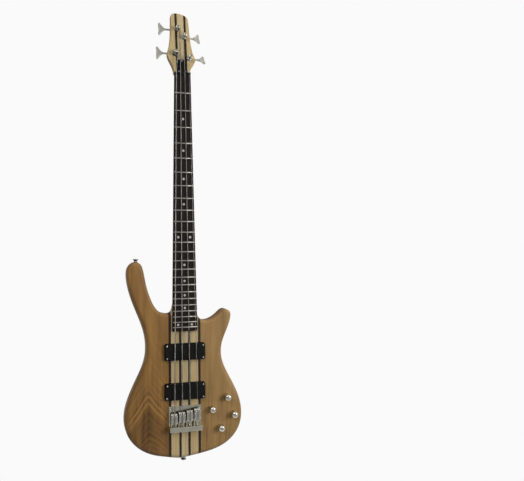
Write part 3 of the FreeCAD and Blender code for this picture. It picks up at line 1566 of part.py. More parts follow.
def strap_buttons():
    """Two turned strap buttons, each with its own long screw."""
    pieces = []
    places = [
        facing(Vector(0, 0, tail_z), -UP),
        facing(body_point(*HORN_BUTTON_SHARES), UP),
    ]
    for index, place in enumerate(places, start=1):
        button = turned("button_turning_%d" % index, [
            ("strap_screw_radius + seat_gap", "0"),
            ("button_base_radius", "0"),
            ("button_base_radius", "button_rim / 2"),
            ("button_waist_radius", "button_height * %s" % BUTTON_WAIST_SHARES[0]),
            ("button_waist_radius", "button_height * %s" % BUTTON_WAIST_SHARES[1]),
            ("button_head_radius", "button_height - button_rim"),
            ("button_head_radius", "button_height"),
            ("strap_screw_head_radius + seat_gap", "button_height"),
            ("strap_screw_radius + seat_gap", "button_height - strap_screw_head_radius + strap_screw_radius"),
        ], place)
        screw = turned("button_screw_%d" % index, [
            ("0", "button_height - strap_screw_length"),
            ("strap_screw_radius", "button_height - strap_screw_length + 2 * strap_screw_radius"),
            ("strap_screw_radius", "button_height - strap_screw_head_radius + strap_screw_radius"),
            ("strap_screw_head_radius", "button_height"),
            ("0", "button_height"),
        ], place)
        pieces += [button, screw]
    keep("strap_buttons", joined("strap_buttons", "Part::Compound", pieces))


def screws():
    """Dome-headed wood screws, grouped by what they hold."""
    def master(label, radius, length, head_radius, head_height):
        dome = [
            ("%s * %s" % (head_radius, across), "%s * %s" % (head_height, up))
            for across, up in SCREW_DOME_SHARES]
        body = turned(label, [
            ("0", "-" + length),
            (radius, "-%s + 2 * %s" % (length, radius)),
            (radius, "0"),
            (head_radius, "0"),
        ] + dome + [("0", head_height)], Placement())
        doc.recompute()
        return body.Shape

    flush = turned("screw_master", [
        ("0", "-screw_length"),
        ("screw_radius", "-screw_length + 2 * screw_radius"),
        ("screw_radius", "screw_radius - screw_head_radius"),
        ("screw_head_radius", "0"),
        ("0", "0"),
    ], Placement())
    doc.recompute()
    big = flush.Shape
    small = master(
        "small_screw_master", "small_screw_radius", "small_screw_length",
        "small_screw_head_radius", "small_screw_head_height")
    long = master(
        "pickup_screw_master", "small_screw_radius", "pickup_screw_length",
        "small_screw_head_radius", "small_screw_head_height")

    def row(node, shape, points, y, direction, frame=Placement()):
        copies = [moved(shape, frame * facing(Vector(p.x, y, p.z), direction)) for p in points]
        return keep(node, shaped(node, Part.makeCompound(copies)))

    row("bridge_screws", big, bridge_screw_points(), face_y - size.bridge_plate_thickness, FRONT)
    row("pickup_screws", long, pickup_screw_points(), face_y - size.pickup_rise, FRONT)
    row("tuner_screws", small, housing_screw_points(),
        size.headstock_thickness + size.housing_tab_thickness, BACK, head_frame)
    covers = cover_screw_points() + battery_screw_points()
    copies = [moved(small, facing(Vector(p.x, back_y, p.z), BACK)) for p in covers]
    for point in rod_cover_screw_points():
        place = head_frame * facing(Vector(point.x, -size.rod_cover_thickness, point.z), FRONT)
        copies.append(moved(small, place))
    keep("cover_screws", shaped("cover_screws", Part.makeCompound(copies)))


def write_parts():
    """Check every object, then write each node's solids."""
    doc.recompute()
    for item in doc.Objects:
        if "Invalid" in item.State or "Error" in item.State:
            raise RuntimeError("%s failed: %s" % (item.Name, item.State))
    for node, item in nodes.items():
        if item.Shape.isNull() or not item.Shape.isValid() or not item.Shape.Solids:
            raise RuntimeError("%s has no valid solid" % node)
    os.makedirs("parts", exist_ok=True)
    for node, item in nodes.items():
        item.Shape.exportStep("parts/%s.step" % node)
    print("%d nodes, %d solids" % (len(nodes), sum(len(item.Shape.Solids) for item in nodes.values())))


board = fretboard()
woods(board)
frets_and_dots()
nut()
truss_rod()
tuners()
bridge()
for number in range(len(NAMES)):
    string(number)
pickups()
controls()
electronics()
back_covers()
strap_buttons()
screws()
write_parts()
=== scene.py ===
import functools
import math

import bmesh
import bpy
import numpy as np
from mathutils import Matrix


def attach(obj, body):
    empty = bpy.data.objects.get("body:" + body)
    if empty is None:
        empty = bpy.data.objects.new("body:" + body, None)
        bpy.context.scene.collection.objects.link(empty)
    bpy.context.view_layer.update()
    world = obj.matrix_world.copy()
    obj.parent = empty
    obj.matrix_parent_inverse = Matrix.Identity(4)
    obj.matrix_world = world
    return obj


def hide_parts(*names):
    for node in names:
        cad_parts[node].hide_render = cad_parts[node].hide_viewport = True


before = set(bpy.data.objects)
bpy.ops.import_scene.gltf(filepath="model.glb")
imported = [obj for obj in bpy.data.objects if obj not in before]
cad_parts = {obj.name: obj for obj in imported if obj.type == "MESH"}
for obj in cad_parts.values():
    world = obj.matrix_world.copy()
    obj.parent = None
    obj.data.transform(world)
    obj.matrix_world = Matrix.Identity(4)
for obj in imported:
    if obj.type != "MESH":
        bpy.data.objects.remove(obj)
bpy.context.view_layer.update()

# Neck-through core: long strips of maple with dark veneers between them, glued side by side and
# planed as one plank that runs from the tail to the headstock. An oil finish leaves the grain open.


def join(tree, socket, value):
    """Link a socket to an output, or set its value."""
    if isinstance(value, bpy.types.NodeSocket):
        tree.links.new(value, socket)
    else:
        socket.default_value = value


def place(tree, kind, links=None, **settings):
    """Add a shader node with its settings, and link or set the sockets given by name or number."""
    node = tree.nodes.new(kind)
    for name, value in settings.items():
        setattr(node, name, value)
    for name, value in (links or {}).items():
        join(tree, node.inputs[name], value)
    return node


def tint(red, green, blue):
    """Linear colour of a paint chip given in display values from 0 to 255."""
    shown = np.array([red, green, blue]) / 255
    linear = np.where(shown < 0.04045, shown / 12.92, ((shown + 0.055) / 1.055) ** 2.4)
    return (*linear.tolist(), 1.0)


def maths(tree, operation, first, second=0.0):
    """One arithmetic step on values."""
    return place(tree, "ShaderNodeMath", {0: first, 1: second}, operation=operation).outputs[0]


def product(tree, *values):
    """Values multiplied together in their order."""
    return functools.reduce(lambda first, second: maths(tree, "MULTIPLY", first, second), values)


def total(tree, *values):
    """Values added together in their order."""
    return functools.reduce(lambda first, second: maths(tree, "ADD", first, second), values)


def vectors(tree, operation, first, second=(0.0, 0.0, 0.0)):
    """One arithmetic step on vectors."""
    return place(tree, "ShaderNodeVectorMath", {0: first, 1: second}, operation=operation).outputs[0]


def split(tree, vector):
    """Components of a vector, by the names X, Y and Z."""
    return place(tree, "ShaderNodeSeparateXYZ", {0: vector}).outputs


def spread(tree, value, low, high, new_low=0.0, new_high=1.0, smooth=False):
    """Stretch a range of values to another range, clamped."""
    return place(
        tree, "ShaderNodeMapRange",
        {"Value": value, "From Min": low, "From Max": high, "To Min": new_low, "To Max": new_high},
        interpolation_type="SMOOTHSTEP" if smooth else "LINEAR").outputs[0]


eased = functools.partial(spread, smooth=True)


def blended(tree, share, first, second):
    """Mix two colours by a share."""
    return place(tree, "ShaderNodeMix", {0: share, 6: first, 7: second}, data_type="RGBA").outputs[2]


def cloud(tree, point, scale, detail=3.0, roughness=0.55, drawn=None, output="Fac"):
    """Smooth random value at a scale, which may have a factor for each axis."""
    if drawn:
        point = vectors(tree, "MULTIPLY", point, drawn)
    settings = {"Vector": point, "Scale": scale, "Detail": detail, "Roughness": roughness}
    return place(tree, "ShaderNodeTexNoise", settings).outputs[output]


def group(name, vector_inputs, value_inputs, value_outputs):
    """Empty shader group with named inputs, vectors before values, and value outputs."""
    tree = bpy.data.node_groups.new(name, "ShaderNodeTree")
    for labels, way, kind in ((vector_inputs, "INPUT", "Vector"), (value_inputs, "INPUT", "Float"),
                              (value_outputs, "OUTPUT", "Float")):
        for label in labels:
            tree.interface.new_socket(label, in_out=way, socket_type="NodeSocket" + kind)
    return tree, place(tree, "NodeGroupInput").outputs


def grouped(tree, kind, *values):
    """Outputs of a shader group used in a tree, with its inputs linked or set in their order."""
    node = place(tree, "ShaderNodeGroup", node_tree=kind)
    for socket, value in zip(node.inputs, values):
        join(tree, socket, value)
    return node.outputs


RING_INPUTS = ["Point", "Pith"], ["Rise", "Spacing", "Wander"]
WANDER_SCALE = (11.0, 11.0, 4.0)
FIRST_YEAR = 341.0


def growth_rings():
    """Yearly rings of a tree: cones round a pith that leans along the board, wandering a little. Each ring
    darkens slowly to its late wood and ends sharply, the next one starts with a pale line, and each year has
    its own strength. The reach is the distance grown from the pith."""
    tree, given = group("growth_rings", *RING_INPUTS, ["Band", "Line", "Reach"])
    noise = cloud(tree, given["Point"], 1.0, 2.0, drawn=WANDER_SCALE, output="Color")
    drift = vectors(tree, "SUBTRACT", noise, (0.5, 0.5, 0.5))
    drift = place(
        tree, "ShaderNodeVectorMath", {0: drift, "Scale": given["Wander"]}, operation="SCALE").outputs[0]
    moved = vectors(tree, "ADD", given["Point"], drift)
    apart = vectors(tree, "SUBTRACT", moved, given["Pith"])
    across = vectors(tree, "MULTIPLY", apart, (1.0, 1.0, 0.0))
    radius = place(tree, "ShaderNodeVectorMath", {0: across}, operation="LENGTH").outputs["Value"]
    reach = total(tree, radius, product(tree, split(tree, apart)["Z"], given["Rise"]))
    count = maths(tree, "DIVIDE", reach, given["Spacing"])
    part = maths(tree, "FRACT", count)
    number = total(tree, maths(tree, "FLOOR", count), FIRST_YEAR)
    year = place(tree, "ShaderNodeTexWhiteNoise", {"W": number}, noise_dimensions="1D").outputs["Value"]
    late = eased(tree, part, 0.1, 0.86)
    ended = eased(tree, part, 0.9, 1.0, 1.0, 0.0)
    strength = spread(tree, year, 0.0, 1.0, 0.2, 1.0)
    band = product(tree, late, ended, strength)
    rising = eased(tree, part, 0.0, 0.1)
    falling = eased(tree, part, 0.16, 0.5, 1.0, 0.0)
    line = product(tree, rising, falling, spread(tree, year, 0.1, 0.8, 0.1, 1.0))
    place(tree, "NodeGroupOutput", {"Band": band, "Line": line, "Reach": reach})
    return tree


FIBRE_DRAW = (1.0, 1.0, 0.035)
PORE_SCALE = (1900.0, 1900.0, 120.0)


def fibres():
    """Wood fibre along the board: streaks of noise drawn out lengthwise, and short dark pores where a finer
    drawn-out noise is highest."""
    tree, given = group("wood_fibre", ["Point"], ["Width"], ["Streak", "Pore"])
    per_width = maths(tree, "DIVIDE", 1.0, given["Width"])
    wide = cloud(tree, given["Point"], per_width, 5.0, 0.65, FIBRE_DRAW)
    fine = cloud(tree, given["Point"], 1.0, 1.0, drawn=PORE_SCALE)
    place(tree, "NodeGroupOutput", {
        "Streak": spread(tree, wide, 0.28, 0.72), "Pore": spread(tree, fine, 0.66, 0.74)})
    return tree


RINGS = growth_rings()
FIBRE = fibres()


def finish(name):
    """New material, with its node tree, its shader and its object coordinates."""
    material = bpy.data.materials.new(name)
    material.use_nodes = True
    tree = material.node_tree
    tree.nodes.clear()
    shader = place(tree, "ShaderNodeBsdfPrincipled")
    place(tree, "ShaderNodeOutputMaterial", {"Surface": shader.outputs[0]})
    point = place(tree, "ShaderNodeTexCoord").outputs["Object"]
    return material, tree, shader, point


def link(tree, shader, **values):
    """Link or set the shader's sockets by their names, with underscores for spaces."""
    for name, value in values.items():
        join(tree, shader.inputs[name.replace("_", " ")], value)


def bumped(tree, height, depth):
    """Normal of a surface whose height varies by a depth in metres."""
    settings = {"Height": height, "Distance": depth, "Strength": 1.0}
    return place(tree, "ShaderNodeBump", settings).outputs["Normal"]


OPEN_GRAIN_DEPTH = 0.00005
SLOW_DRAW = (1.0, 1.0, 0.1)


def oiled(tree, shader, colour, streak, pores, roughness, gloss=0.3):
    """Oil finish: pores stay open and a little duller, and the fibre ripples the surface."""
    height = maths(tree, "SUBTRACT", product(tree, streak, 0.3), pores)
    link(tree, shader, Base_Color=colour, Specular_IOR_Level=gloss,
         Roughness=spread(tree, streak, 0.0, 1.0, roughness - 0.05, roughness + 0.07),
         Normal=bumped(tree, height, OPEN_GRAIN_DEPTH))


def strip_wood(name, light, dark, rings, width, ring_share, streak_share, pore_share, roughness, gloss=0.3):
    """Wood of a straight strip or board: light early wood and dark late wood by the growth rings, streaked by
    the fibre and slow clouds along the grain, with pores."""
    material, tree, shader, point = finish(name)
    band = grouped(tree, RINGS, point, *rings)["Band"]
    fibre = grouped(tree, FIBRE, point, width)
    slow = cloud(tree, point, 60.0, drawn=SLOW_DRAW)
    share = total(tree, product(tree, band, ring_share), product(tree, fibre["Streak"], streak_share),
                  spread(tree, slow, 0.3, 0.7, -0.15, 0.2))
    pores = product(tree, fibre["Pore"], pore_share)
    deep = tuple(0.35 * value for value in dark[:3]) + (1.0,)
    colour = blended(tree, pores, blended(tree, share, light, dark), deep)
    oiled(tree, shader, colour, fibre["Streak"], pores, roughness, gloss)
    return material


def paint(material, *names):
    """Give CAD nodes a finish."""
    for name in names:
        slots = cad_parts[name].data.materials
        slots.clear()
        slots.append(material)


maple_cut = dict(
    rings=((0.35, 0.12, 0.0), 0.02, 0.006, 0.006), width=0.0022, ring_share=0.25, streak_share=0.4,
    pore_share=0.15, roughness=0.45)
centre_maple = strip_wood("centre_maple", tint(208, 189, 147), tint(156, 134, 92), **maple_cut)
side_maple = strip_wood("side_maple", tint(206, 183, 137), tint(154, 129, 85), **maple_cut)
stripe = strip_wood(
    "dark_veneer", tint(50, 34, 26), tint(16, 11, 9), rings=((0.3, 0.2, 0.0), 0.02, 0.002, 0.004),
    width=0.0012, ring_share=0.3, streak_share=0.6, pore_share=0.4, roughness=0.5)
paint(centre_maple, "neck_center_strip")
paint(side_maple, "neck_side_strips")
paint(stripe, "inner_stripes", "outer_stripes")

# Wings: two halves of walnut glued to the core, cut to the outline and rounded over at the rim.
# The bass half is cut near the heart of the tree, so its rings show as nested arches.
WING_REACH = 0.5
HEART_RISE = 0.3
PATCH_DRAW = (1.0, 1.0, 0.5)
BROAD_DRAW = (1.0, 1.0, 0.09)


def walnut_figure():
    """Figure of a walnut board. The heart leans less and less up the wing, by a square law, so arches give
    way to straight grain. It lies deeper under the back than under the front, and the arches there are
    steeper and rounder. Slow patches let the rings fade in and out, and they fade up the wing. Heart marks
    the wood of small reach, Broad the clouds drawn out along the grain, and Behind turns from the front face
    to the back."""
    tree, given = group("walnut_figure", *RING_INPUTS, ["Band", "Line", "Heart", "Broad", "Behind"])
    spot = split(tree, given["Point"])
    left = spread(tree, spot["Z"], 0.0, WING_REACH, 1.0, 0.0)
    leaning = product(tree, maths(tree, "SUBTRACT", 1.0, product(tree, left, left)), HEART_RISE)
    behind = eased(tree, spot["Y"], -0.013, 0.014)
    pith_x = split(tree, given["Pith"])["X"]
    aside = maths(tree, "SUBTRACT", spot["X"], pith_x)
    aside = product(tree, aside, spread(tree, behind, 0.0, 1.0, 1.0, 1.9))
    depth = product(tree, maths(tree, "ABSOLUTE", spot["Y"]), spread(tree, behind, 0.0, 1.0, -1.0, -1.5))
    bent = {0: total(tree, aside, pith_x), 1: depth, 2: leaning}
    bent = place(tree, "ShaderNodeCombineXYZ", bent).outputs[0]
    rings = grouped(tree, RINGS, bent, *[given[name] for name in ("Pith", "Rise", "Spacing", "Wander")])
    patch = cloud(tree, given["Point"], 26.0, 2.0, drawn=PATCH_DRAW)
    strength = product(tree, spread(tree, patch, 0.34, 0.6, 0.25, 1.0),
                       eased(tree, spot["Z"], 0.18, 0.225, 1.0, 0.15))
    lined = product(tree, strength, eased(tree, rings["Reach"], 0.135, 0.16, 0.2, 1.0))
    broad = cloud(tree, given["Point"], 46.0, 4.0, 0.6, BROAD_DRAW)
    place(tree, "NodeGroupOutput", {
        "Band": product(tree, rings["Band"], strength), "Line": product(tree, rings["Line"], lined),
        "Heart": eased(tree, rings["Reach"], 0.146, 0.160, 1.0, 0.0),
        "Broad": spread(tree, broad, 0.34, 0.68), "Behind": behind})
    return tree


FIGURE = walnut_figure()


def walnut(name, rings, front, back, ring_shares, lines, heart, streaks):
    """Walnut of a wing. Rings, heart, fibre and broad streaks set the share between a light and a dark shade,
    and the rings' first lines are paler. The pair of shades and the rings' strength turn from the front face
    to the darker back."""
    material, tree, shader, point = finish(name)
    figure = grouped(tree, FIGURE, point, *rings)
    fibre = grouped(tree, FIBRE, point, 0.0019)
    strength = spread(tree, figure["Behind"], 0.0, 1.0, *ring_shares)
    share = total(tree, product(tree, figure["Band"], strength), product(tree, fibre["Streak"], 0.26),
                  spread(tree, figure["Broad"], 0.0, 1.0, -0.1, streaks),
                  product(tree, figure["Heart"], heart))
    share = maths(tree, "SUBTRACT", share, product(tree, figure["Line"], lines))
    pores = product(tree, fibre["Pore"], 0.4)
    colour = blended(tree, figure["Behind"], blended(tree, share, *front), blended(tree, share, *back))
    colour = blended(tree, pores, colour, tint(36, 23, 14))
    oiled(tree, shader, colour, fibre["Streak"], pores, 0.46)
    return material


bass_walnut = walnut(
    "bass_walnut", rings=((-0.095, -0.0165, -0.0070), 1.0, 0.0145, 0.032),
    front=(tint(160, 120, 66), tint(78, 50, 24)), back=(tint(140, 106, 64), tint(58, 36, 17)),
    ring_shares=(0.22, 0.62), lines=0.6, heart=0.24, streaks=0.45)
treble_walnut = walnut(
    "treble_walnut", rings=((0.25, 0.03, 0.0), 0.05, 0.0085, 0.014),
    front=(tint(168, 134, 84), tint(88, 60, 32)), back=(tint(124, 87, 46), tint(56, 35, 16)),
    ring_shares=(0.22, 0.5), lines=0.1, heart=0.0, streaks=0.36)
paint(bass_walnut, "bass_wing")
paint(treble_walnut, "treble_wing")

# Fretboard: a tapered board of rosewood glued on the core, with slots sawn across it for the frets.
# It is left dry and without lacquer, so it shines less than the oiled woods.
rosewood = strip_wood(
    "rosewood", tint(36, 26, 19), tint(12, 8, 6), rings=((0.2, 0.1, 0.0), 0.03, 0.003, 0.005),
    width=0.0011, ring_share=0.3, streak_share=0.6, pore_share=0.5, roughness=0.58, gloss=0.15)
paint(rosewood, "fretboard")

# Frets: half-round wires of nickel silver pressed into slots across the board, with their ends
# filed to a slope and dressed smooth.
SCRATCH_DRAW = (9.0, 1.0, 1.0)


def handled_gloss():
    """Marks of handling: cloudy smudges, and a haze of smudges and scratches that are narrow across."""
    tree, given = group("handled_gloss", ["Point"], ["Scale"], ["Smudge", "Haze"])
    smudge = cloud(tree, given["Point"], given["Scale"], 4.0, 0.6)
    scratch = cloud(tree, given["Point"], product(tree, given["Scale"], 6.0), 2.0, drawn=SCRATCH_DRAW)
    haze = total(tree, smudge, product(tree, scratch, 0.4))
    place(tree, "NodeGroupOutput", {
        "Smudge": spread(tree, smudge, 0.35, 0.7), "Haze": spread(tree, haze, 0.5, 0.9)})
    return tree


HANDLED = handled_gloss()


def soft_metal(name, colour, dull, low, high, scale):
    """Polished metal, duller in its smudges and rougher in its haze."""
    material, tree, shader, point = finish(name)
    marks = grouped(tree, HANDLED, point, scale)
    link(tree, shader, Base_Color=blended(tree, marks["Smudge"], colour, dull), Metallic=1.0,
         Roughness=spread(tree, marks["Haze"], 0.0, 1.0, low, high))
    return material


def shells_to_mesh(name, shells, uv=False):
    """Mesh of closed shells. Each shell is a grid of rows of points, every row a ring, so the faces join
    each point to its neighbours round the ring and in the next row. Rings drawn to one point close the ends.
    The UV map holds the length along the rings' middles and the share of the way round."""
    points, faces, places = [], [], []
    start = 0
    for shell in shells:
        rows, columns = shell.shape[:2]
        number = start + np.arange(rows * columns).reshape(rows, columns)
        after = np.roll(number, -1, axis=1)
        faces.append(np.stack([number[:-1], after[:-1], after[1:], number[1:]], axis=-1).reshape(-1, 4))
        points.append(shell.reshape(-1, 3))
        if uv:
            step = np.linalg.norm(np.diff(shell.mean(axis=1), axis=0), axis=1)
            along = np.concatenate([[0.0], np.cumsum(step)])
            low, high = along[:-1, None], along[1:, None]
            left = np.arange(columns)[None, :] / columns
            right = left + 1 / columns
            quad = [(low, left), (low, right), (high, right), (high, left)]
            corners = [np.stack(np.broadcast_arrays(u, v), axis=-1) for u, v in quad]
            places.append(np.stack(corners, axis=2).reshape(-1, 2))
        start += rows * columns
    mesh = bpy.data.meshes.new(name)
    mesh.from_pydata(np.concatenate(points), [], np.concatenate(faces))
    if uv:
        layer = mesh.uv_layers.new(name="along_and_round")
        layer.data.foreach_set("uv", np.concatenate(places).astype(np.float32).ravel())
    work = bmesh.new()
    work.from_mesh(mesh)
    bmesh.ops.remove_doubles(work, verts=work.verts, dist=2e-7)
    bmesh.ops.recalc_face_normals(work, faces=work.faces)
    work.to_mesh(mesh)
    work.free()
    return mesh


def shown(name, data):
    """Object with its data, put in the scene."""
    made = bpy.data.objects.new(name, data)
    bpy.context.scene.collection.objects.link(made)
    return made


def piece(name, shells, material, body, nodes, uv=False, crease=32):
    """Put a mesh of shells in the scene in place of CAD nodes, riding on their body."""
    mesh = shells_to_mesh(name, shells, uv)
    mesh.materials.append(material)
    mesh.shade_smooth()
    mesh.set_sharp_from_angle(angle=math.radians(crease))
    made = shown(name, mesh)
    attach(made, body)
    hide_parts(*nodes)


def tilted(points, origin, degrees):
    """Points given as across, depth and height in a frame that leans back about X from its origin."""
    turn = math.radians(degrees)
    x, depth, height = np.moveaxis(np.asarray(points, dtype=float), -1, 0)
    y = depth * math.cos(turn) + height * math.sin(turn)
    z = height * math.cos(turn) - depth * math.sin(turn)
    return np.stack([x, y, z], axis=-1) + np.asarray(origin)


NECK = ((0.0, -0.0325, 0.1305), 1.3)
SCALE_LENGTH = 0.8636
BOARD_END = 0.2059
NUT_WIDTH = 0.042
END_WIDTH = 0.065
FRET_HEIGHT = 0.0012
FRET_HALF = 0.0013
FRET_INSET = 0.0006
END_SLOPE = 0.9

numbers = np.arange(1, 25)
fret_places = SCALE_LENGTH / 2 ** (numbers / 12)
widening = (END_WIDTH - NUT_WIDTH) * (SCALE_LENGTH - fret_places)
board_widths = NUT_WIDTH + widening / (SCALE_LENGTH - BOARD_END)
turn = np.linspace(0, math.pi, 15)
crown_z = np.concatenate([FRET_HALF * np.cos(turn), [-FRET_HALF / 2, FRET_HALF / 2]])
crown_up = np.concatenate([FRET_HEIGHT * np.sin(turn) ** 0.85, [0.0, 0.0]])


def fret_wires():
    """Half an ellipse, a little full, carried across the board. The end rings lean in by a slope times their
    height, and a smaller ring and a point close each end."""
    stations = np.array([-1.0, -1.0, -1.0, 1.0, 1.0, 1.0])
    sizes = np.array([0.0, 0.86, 1.0, 1.0, 0.86, 0.0])
    reach = board_widths / 2 - FRET_INSET
    up = sizes[:, None] * crown_up
    x = stations[:, None] * (reach[:, None, None] - END_SLOPE * up)
    z = fret_places[:, None, None] + sizes[:, None] * crown_z
    return list(tilted(np.stack(np.broadcast_arrays(x, FRET_HEIGHT - up, z), axis=-1), *NECK))


fret_silver = soft_metal("fret_silver", (0.52, 0.50, 0.45, 1), (0.35, 0.33, 0.30, 1), 0.36, 0.5, 160.0)
piece("fret_wires", fret_wires(), fret_silver, "instrument", ["frets"], crease=50)


# Position dots: discs of pearl let into bored seats, flush with the board's face, one at each marked
# fret and a pair at each octave.
def pearl_finish():
    """Pearl: pale cloud layers that shift from cream to faint green and rose, under a clear gloss."""
    material, tree, shader, point = finish("pearl")
    layers = cloud(tree, point, 420.0, 5.0, 0.7)
    hue = blended(tree, spread(tree, layers, 0.35, 0.65), tint(208, 205, 194), tint(170, 175, 168))
    rose = cloud(tree, vectors(tree, "ADD", point, (3.1, 1.7, 0.4)), 300.0)
    hue = blended(tree, spread(tree, rose, 0.5, 0.7, 0.0, 0.5), hue, tint(178, 162, 154))
    link(tree, shader, Base_Color=hue, Roughness=spread(tree, layers, 0.3, 0.7, 0.18, 0.32),
         Coat_Weight=0.4, Coat_Roughness=0.1)
    return material


paint(pearl_finish(), "inlay_dots")


# Nut and truss rod cover: black moulded plastic, the nut slotted for the strings at the end of the
# board, the cover screwed over the rod's adjusting nut.
def fine_grain():
    """Fine grain of a moulded or cast face: one smooth random value at a scale."""
    tree, given = group("fine_grain", ["Point"], ["Scale"], ["Grain"])
    grain = cloud(tree, given["Point"], given["Scale"])
    place(tree, "NodeGroupOutput", {"Grain": spread(tree, grain, 0.3, 0.7)})
    return tree


GRAIN = fine_grain()
MOULD_GRAIN_SCALE = 2600.0
MOULD_GRAIN_DEPTH = 0.00002


def moulded_black(name, shade, low, high):
    """Moulded black plastic: a fine grain stands on its face, and handling leaves it paler and glossier."""
    material, tree, shader, point = finish(name)
    marks = grouped(tree, HANDLED, point, 45.0)
    grain = grouped(tree, GRAIN, point, MOULD_GRAIN_SCALE)["Grain"]
    lighter = tuple(value * 1.7 + 0.002 for value in shade[:3]) + (1.0,)
    link(tree, shader, Base_Color=blended(tree, marks["Smudge"], shade, lighter),
         Roughness=spread(tree, marks["Haze"], 0.0, 1.0, high, low),
         Normal=bumped(tree, grain, MOULD_GRAIN_DEPTH), Specular_IOR_Level=0.13)
    return material


black = moulded_black("black_plastic", tint(14, 13, 12), 0.4, 0.56)
paint(black, "nut", "truss_rod_cover")

# Tuners: a worm on each key turns a wheel on its string post inside a closed housing, with a bushing
# on the face of the headstock. All parts are steel or brass with bright chrome, and satin on the keys.
chrome = soft_metal("chrome", (0.75, 0.74, 0.66, 1), (0.62, 0.61, 0.54, 1), 0.08, 0.2, 70.0)
paint(chrome, "tuner_housings", "tuner_bushings")
satin = soft_metal("satin_chrome", (0.56, 0.56, 0.51, 1), (0.45, 0.45, 0.41, 1), 0.42, 0.54, 70.0)
NUT_THICKNESS = 0.005
HEAD_DROP = 0.0076
HEAD_LEAN = 7.0
HEAD_LENGTH = 0.1665
HEAD = (tuple(tilted((0.0, HEAD_DROP, SCALE_LENGTH + NUT_THICKNESS), *NECK)), NECK[1] + HEAD_LEAN)
POST_X = np.array([-0.0172, -0.0095, 0.0095, 0.0215])
POST_UP = HEAD_LENGTH * np.array([0.315, 0.721, 0.601, 0.246])
SIDES = [-1, -1, 1, 1]
STRINGS = ["e", "a", "d", "g"]
KEY_TURNS = [0.0, 0.0, -20.0, -30.0]
WHEEL_TEETH = 20
WHEEL_RADIUS = 0.0065
WORM_PITCH = 2 * math.pi * WHEEL_RADIUS / WHEEL_TEETH
WORM_CORE = 0.00195
WORM_RIDGE = 0.0011
WORM_HALF_LENGTH = 0.0030
KEY_DEPTH = 0.0192
KEY_ABOVE_POST = 0.0091
KEY_NECK = 0.027
BLADE_LENGTH = 0.020
BLADE_HALF_WIDTH = 0.0178
BLADE_HALF_THICKNESS = 0.0021


def full_turn(columns):
    """Angles once round a circle in even steps."""
    return np.linspace(0, 2 * math.pi, columns, endpoint=False)


def key_shaft():
    """Shaft with its worm, as across, thickness and length: rings whose radius follows the stations, with a
    right-handed helical ridge on the worm's stretch and a collar outside the housing."""
    stations = np.array([
        (-0.0080, 0.0), (-0.0080, WORM_CORE), (-0.0032, WORM_CORE), (0.0032, WORM_CORE), (0.0069, WORM_CORE),
        (0.0069, 0.0024), (0.0093, 0.0024), (0.0093, 0.0033), (0.0096, 0.0036), (0.0113, 0.0036),
        (0.0117, 0.0031), (0.0119, 0.0024), (0.0260, 0.0024), (0.0300, 0.0021), (0.0310, 0.0)])
    worm = np.linspace(-WORM_HALF_LENGTH, WORM_HALF_LENGTH, 37)
    along = np.concatenate([stations[:3, 0], worm, stations[3:, 0]])
    radius = np.concatenate([stations[:3, 1], np.full(37, WORM_CORE), stations[3:, 1]])
    angle = full_turn(32)
    ridge = np.clip(-np.cos(2 * math.pi * along[:, None] / WORM_PITCH - angle[None]), 0, 1)
    radius = radius[:, None] + WORM_RIDGE * ridge * (np.abs(along) < WORM_HALF_LENGTH + 0.00005)[:, None]
    along = np.broadcast_to(along[:, None], radius.shape)
    return np.stack([radius * np.cos(angle), radius * np.sin(angle), along], axis=-1)


def key_blade():
    """Fishtail blade, as across, thickness and length. The half width grows with a power of the length to
    three quarters of it, the end is hollowed by a square law and its lobes rounded, and the thickness thins
    to nothing at the rim."""
    share = np.concatenate([np.linspace(0, 0.84, 18), np.linspace(0.88, 1, 7), [1.0]])[:, None]
    across = np.sin(np.linspace(-math.pi / 2, math.pi / 2, 25))
    both = np.concatenate([across, across[-2:0:-1]])[None]
    upper = np.concatenate([np.ones(25), -np.ones(23)])[None]
    width = BLADE_HALF_WIDTH * (0.13 + 0.87 * np.clip(share / 0.76, 0, 1) ** 1.55)
    lobe = np.clip((np.abs(both) - 0.72) / 0.28, 0, 1)
    end = 0.09 * (1 - both ** 2) + 0.2 * lobe ** 2.2
    along = KEY_NECK + BLADE_LENGTH * (share - end * share ** 6)
    rim = np.sqrt(np.clip(1 - np.abs(both) ** 7, 0, 1))
    close = np.sqrt(np.clip(1 - np.clip((share - 0.88) / 0.12, 0, 1) ** 2, 0, 1))
    close[-1] = 0.0
    thick = BLADE_HALF_THICKNESS * rim * close * (1 + 0.12 * np.exp(-((both * width) / 0.004) ** 2))
    grid = np.stack(np.broadcast_arrays(width * both, thick * upper, along), axis=-1)
    root = np.broadcast_to((0.0, 0.0, KEY_NECK), (1,) + grid.shape[1:])
    return np.concatenate([root, grid])


def tuner_key(post_x, post_up, side, degrees):
    """Shaft and blade turned about the shaft by the key's resting angle and set beside its post."""
    turn_by = math.radians(degrees)
    shells = []
    for shell in (key_shaft(), key_blade()):
        across, thick, along = np.moveaxis(shell, -1, 0)
        up = -(across * math.cos(turn_by) - thick * math.sin(turn_by))
        depth = side * (across * math.sin(turn_by) + thick * math.cos(turn_by))
        shells.append(tilted(np.stack(
            [post_x + side * along, KEY_DEPTH + depth, post_up + KEY_ABOVE_POST + up], axis=-1), *HEAD))
    return shells


def unit(vector):
    """Vector, or each row of an array, brought to length one."""
    return vector / np.linalg.norm(vector, axis=-1, keepdims=True)


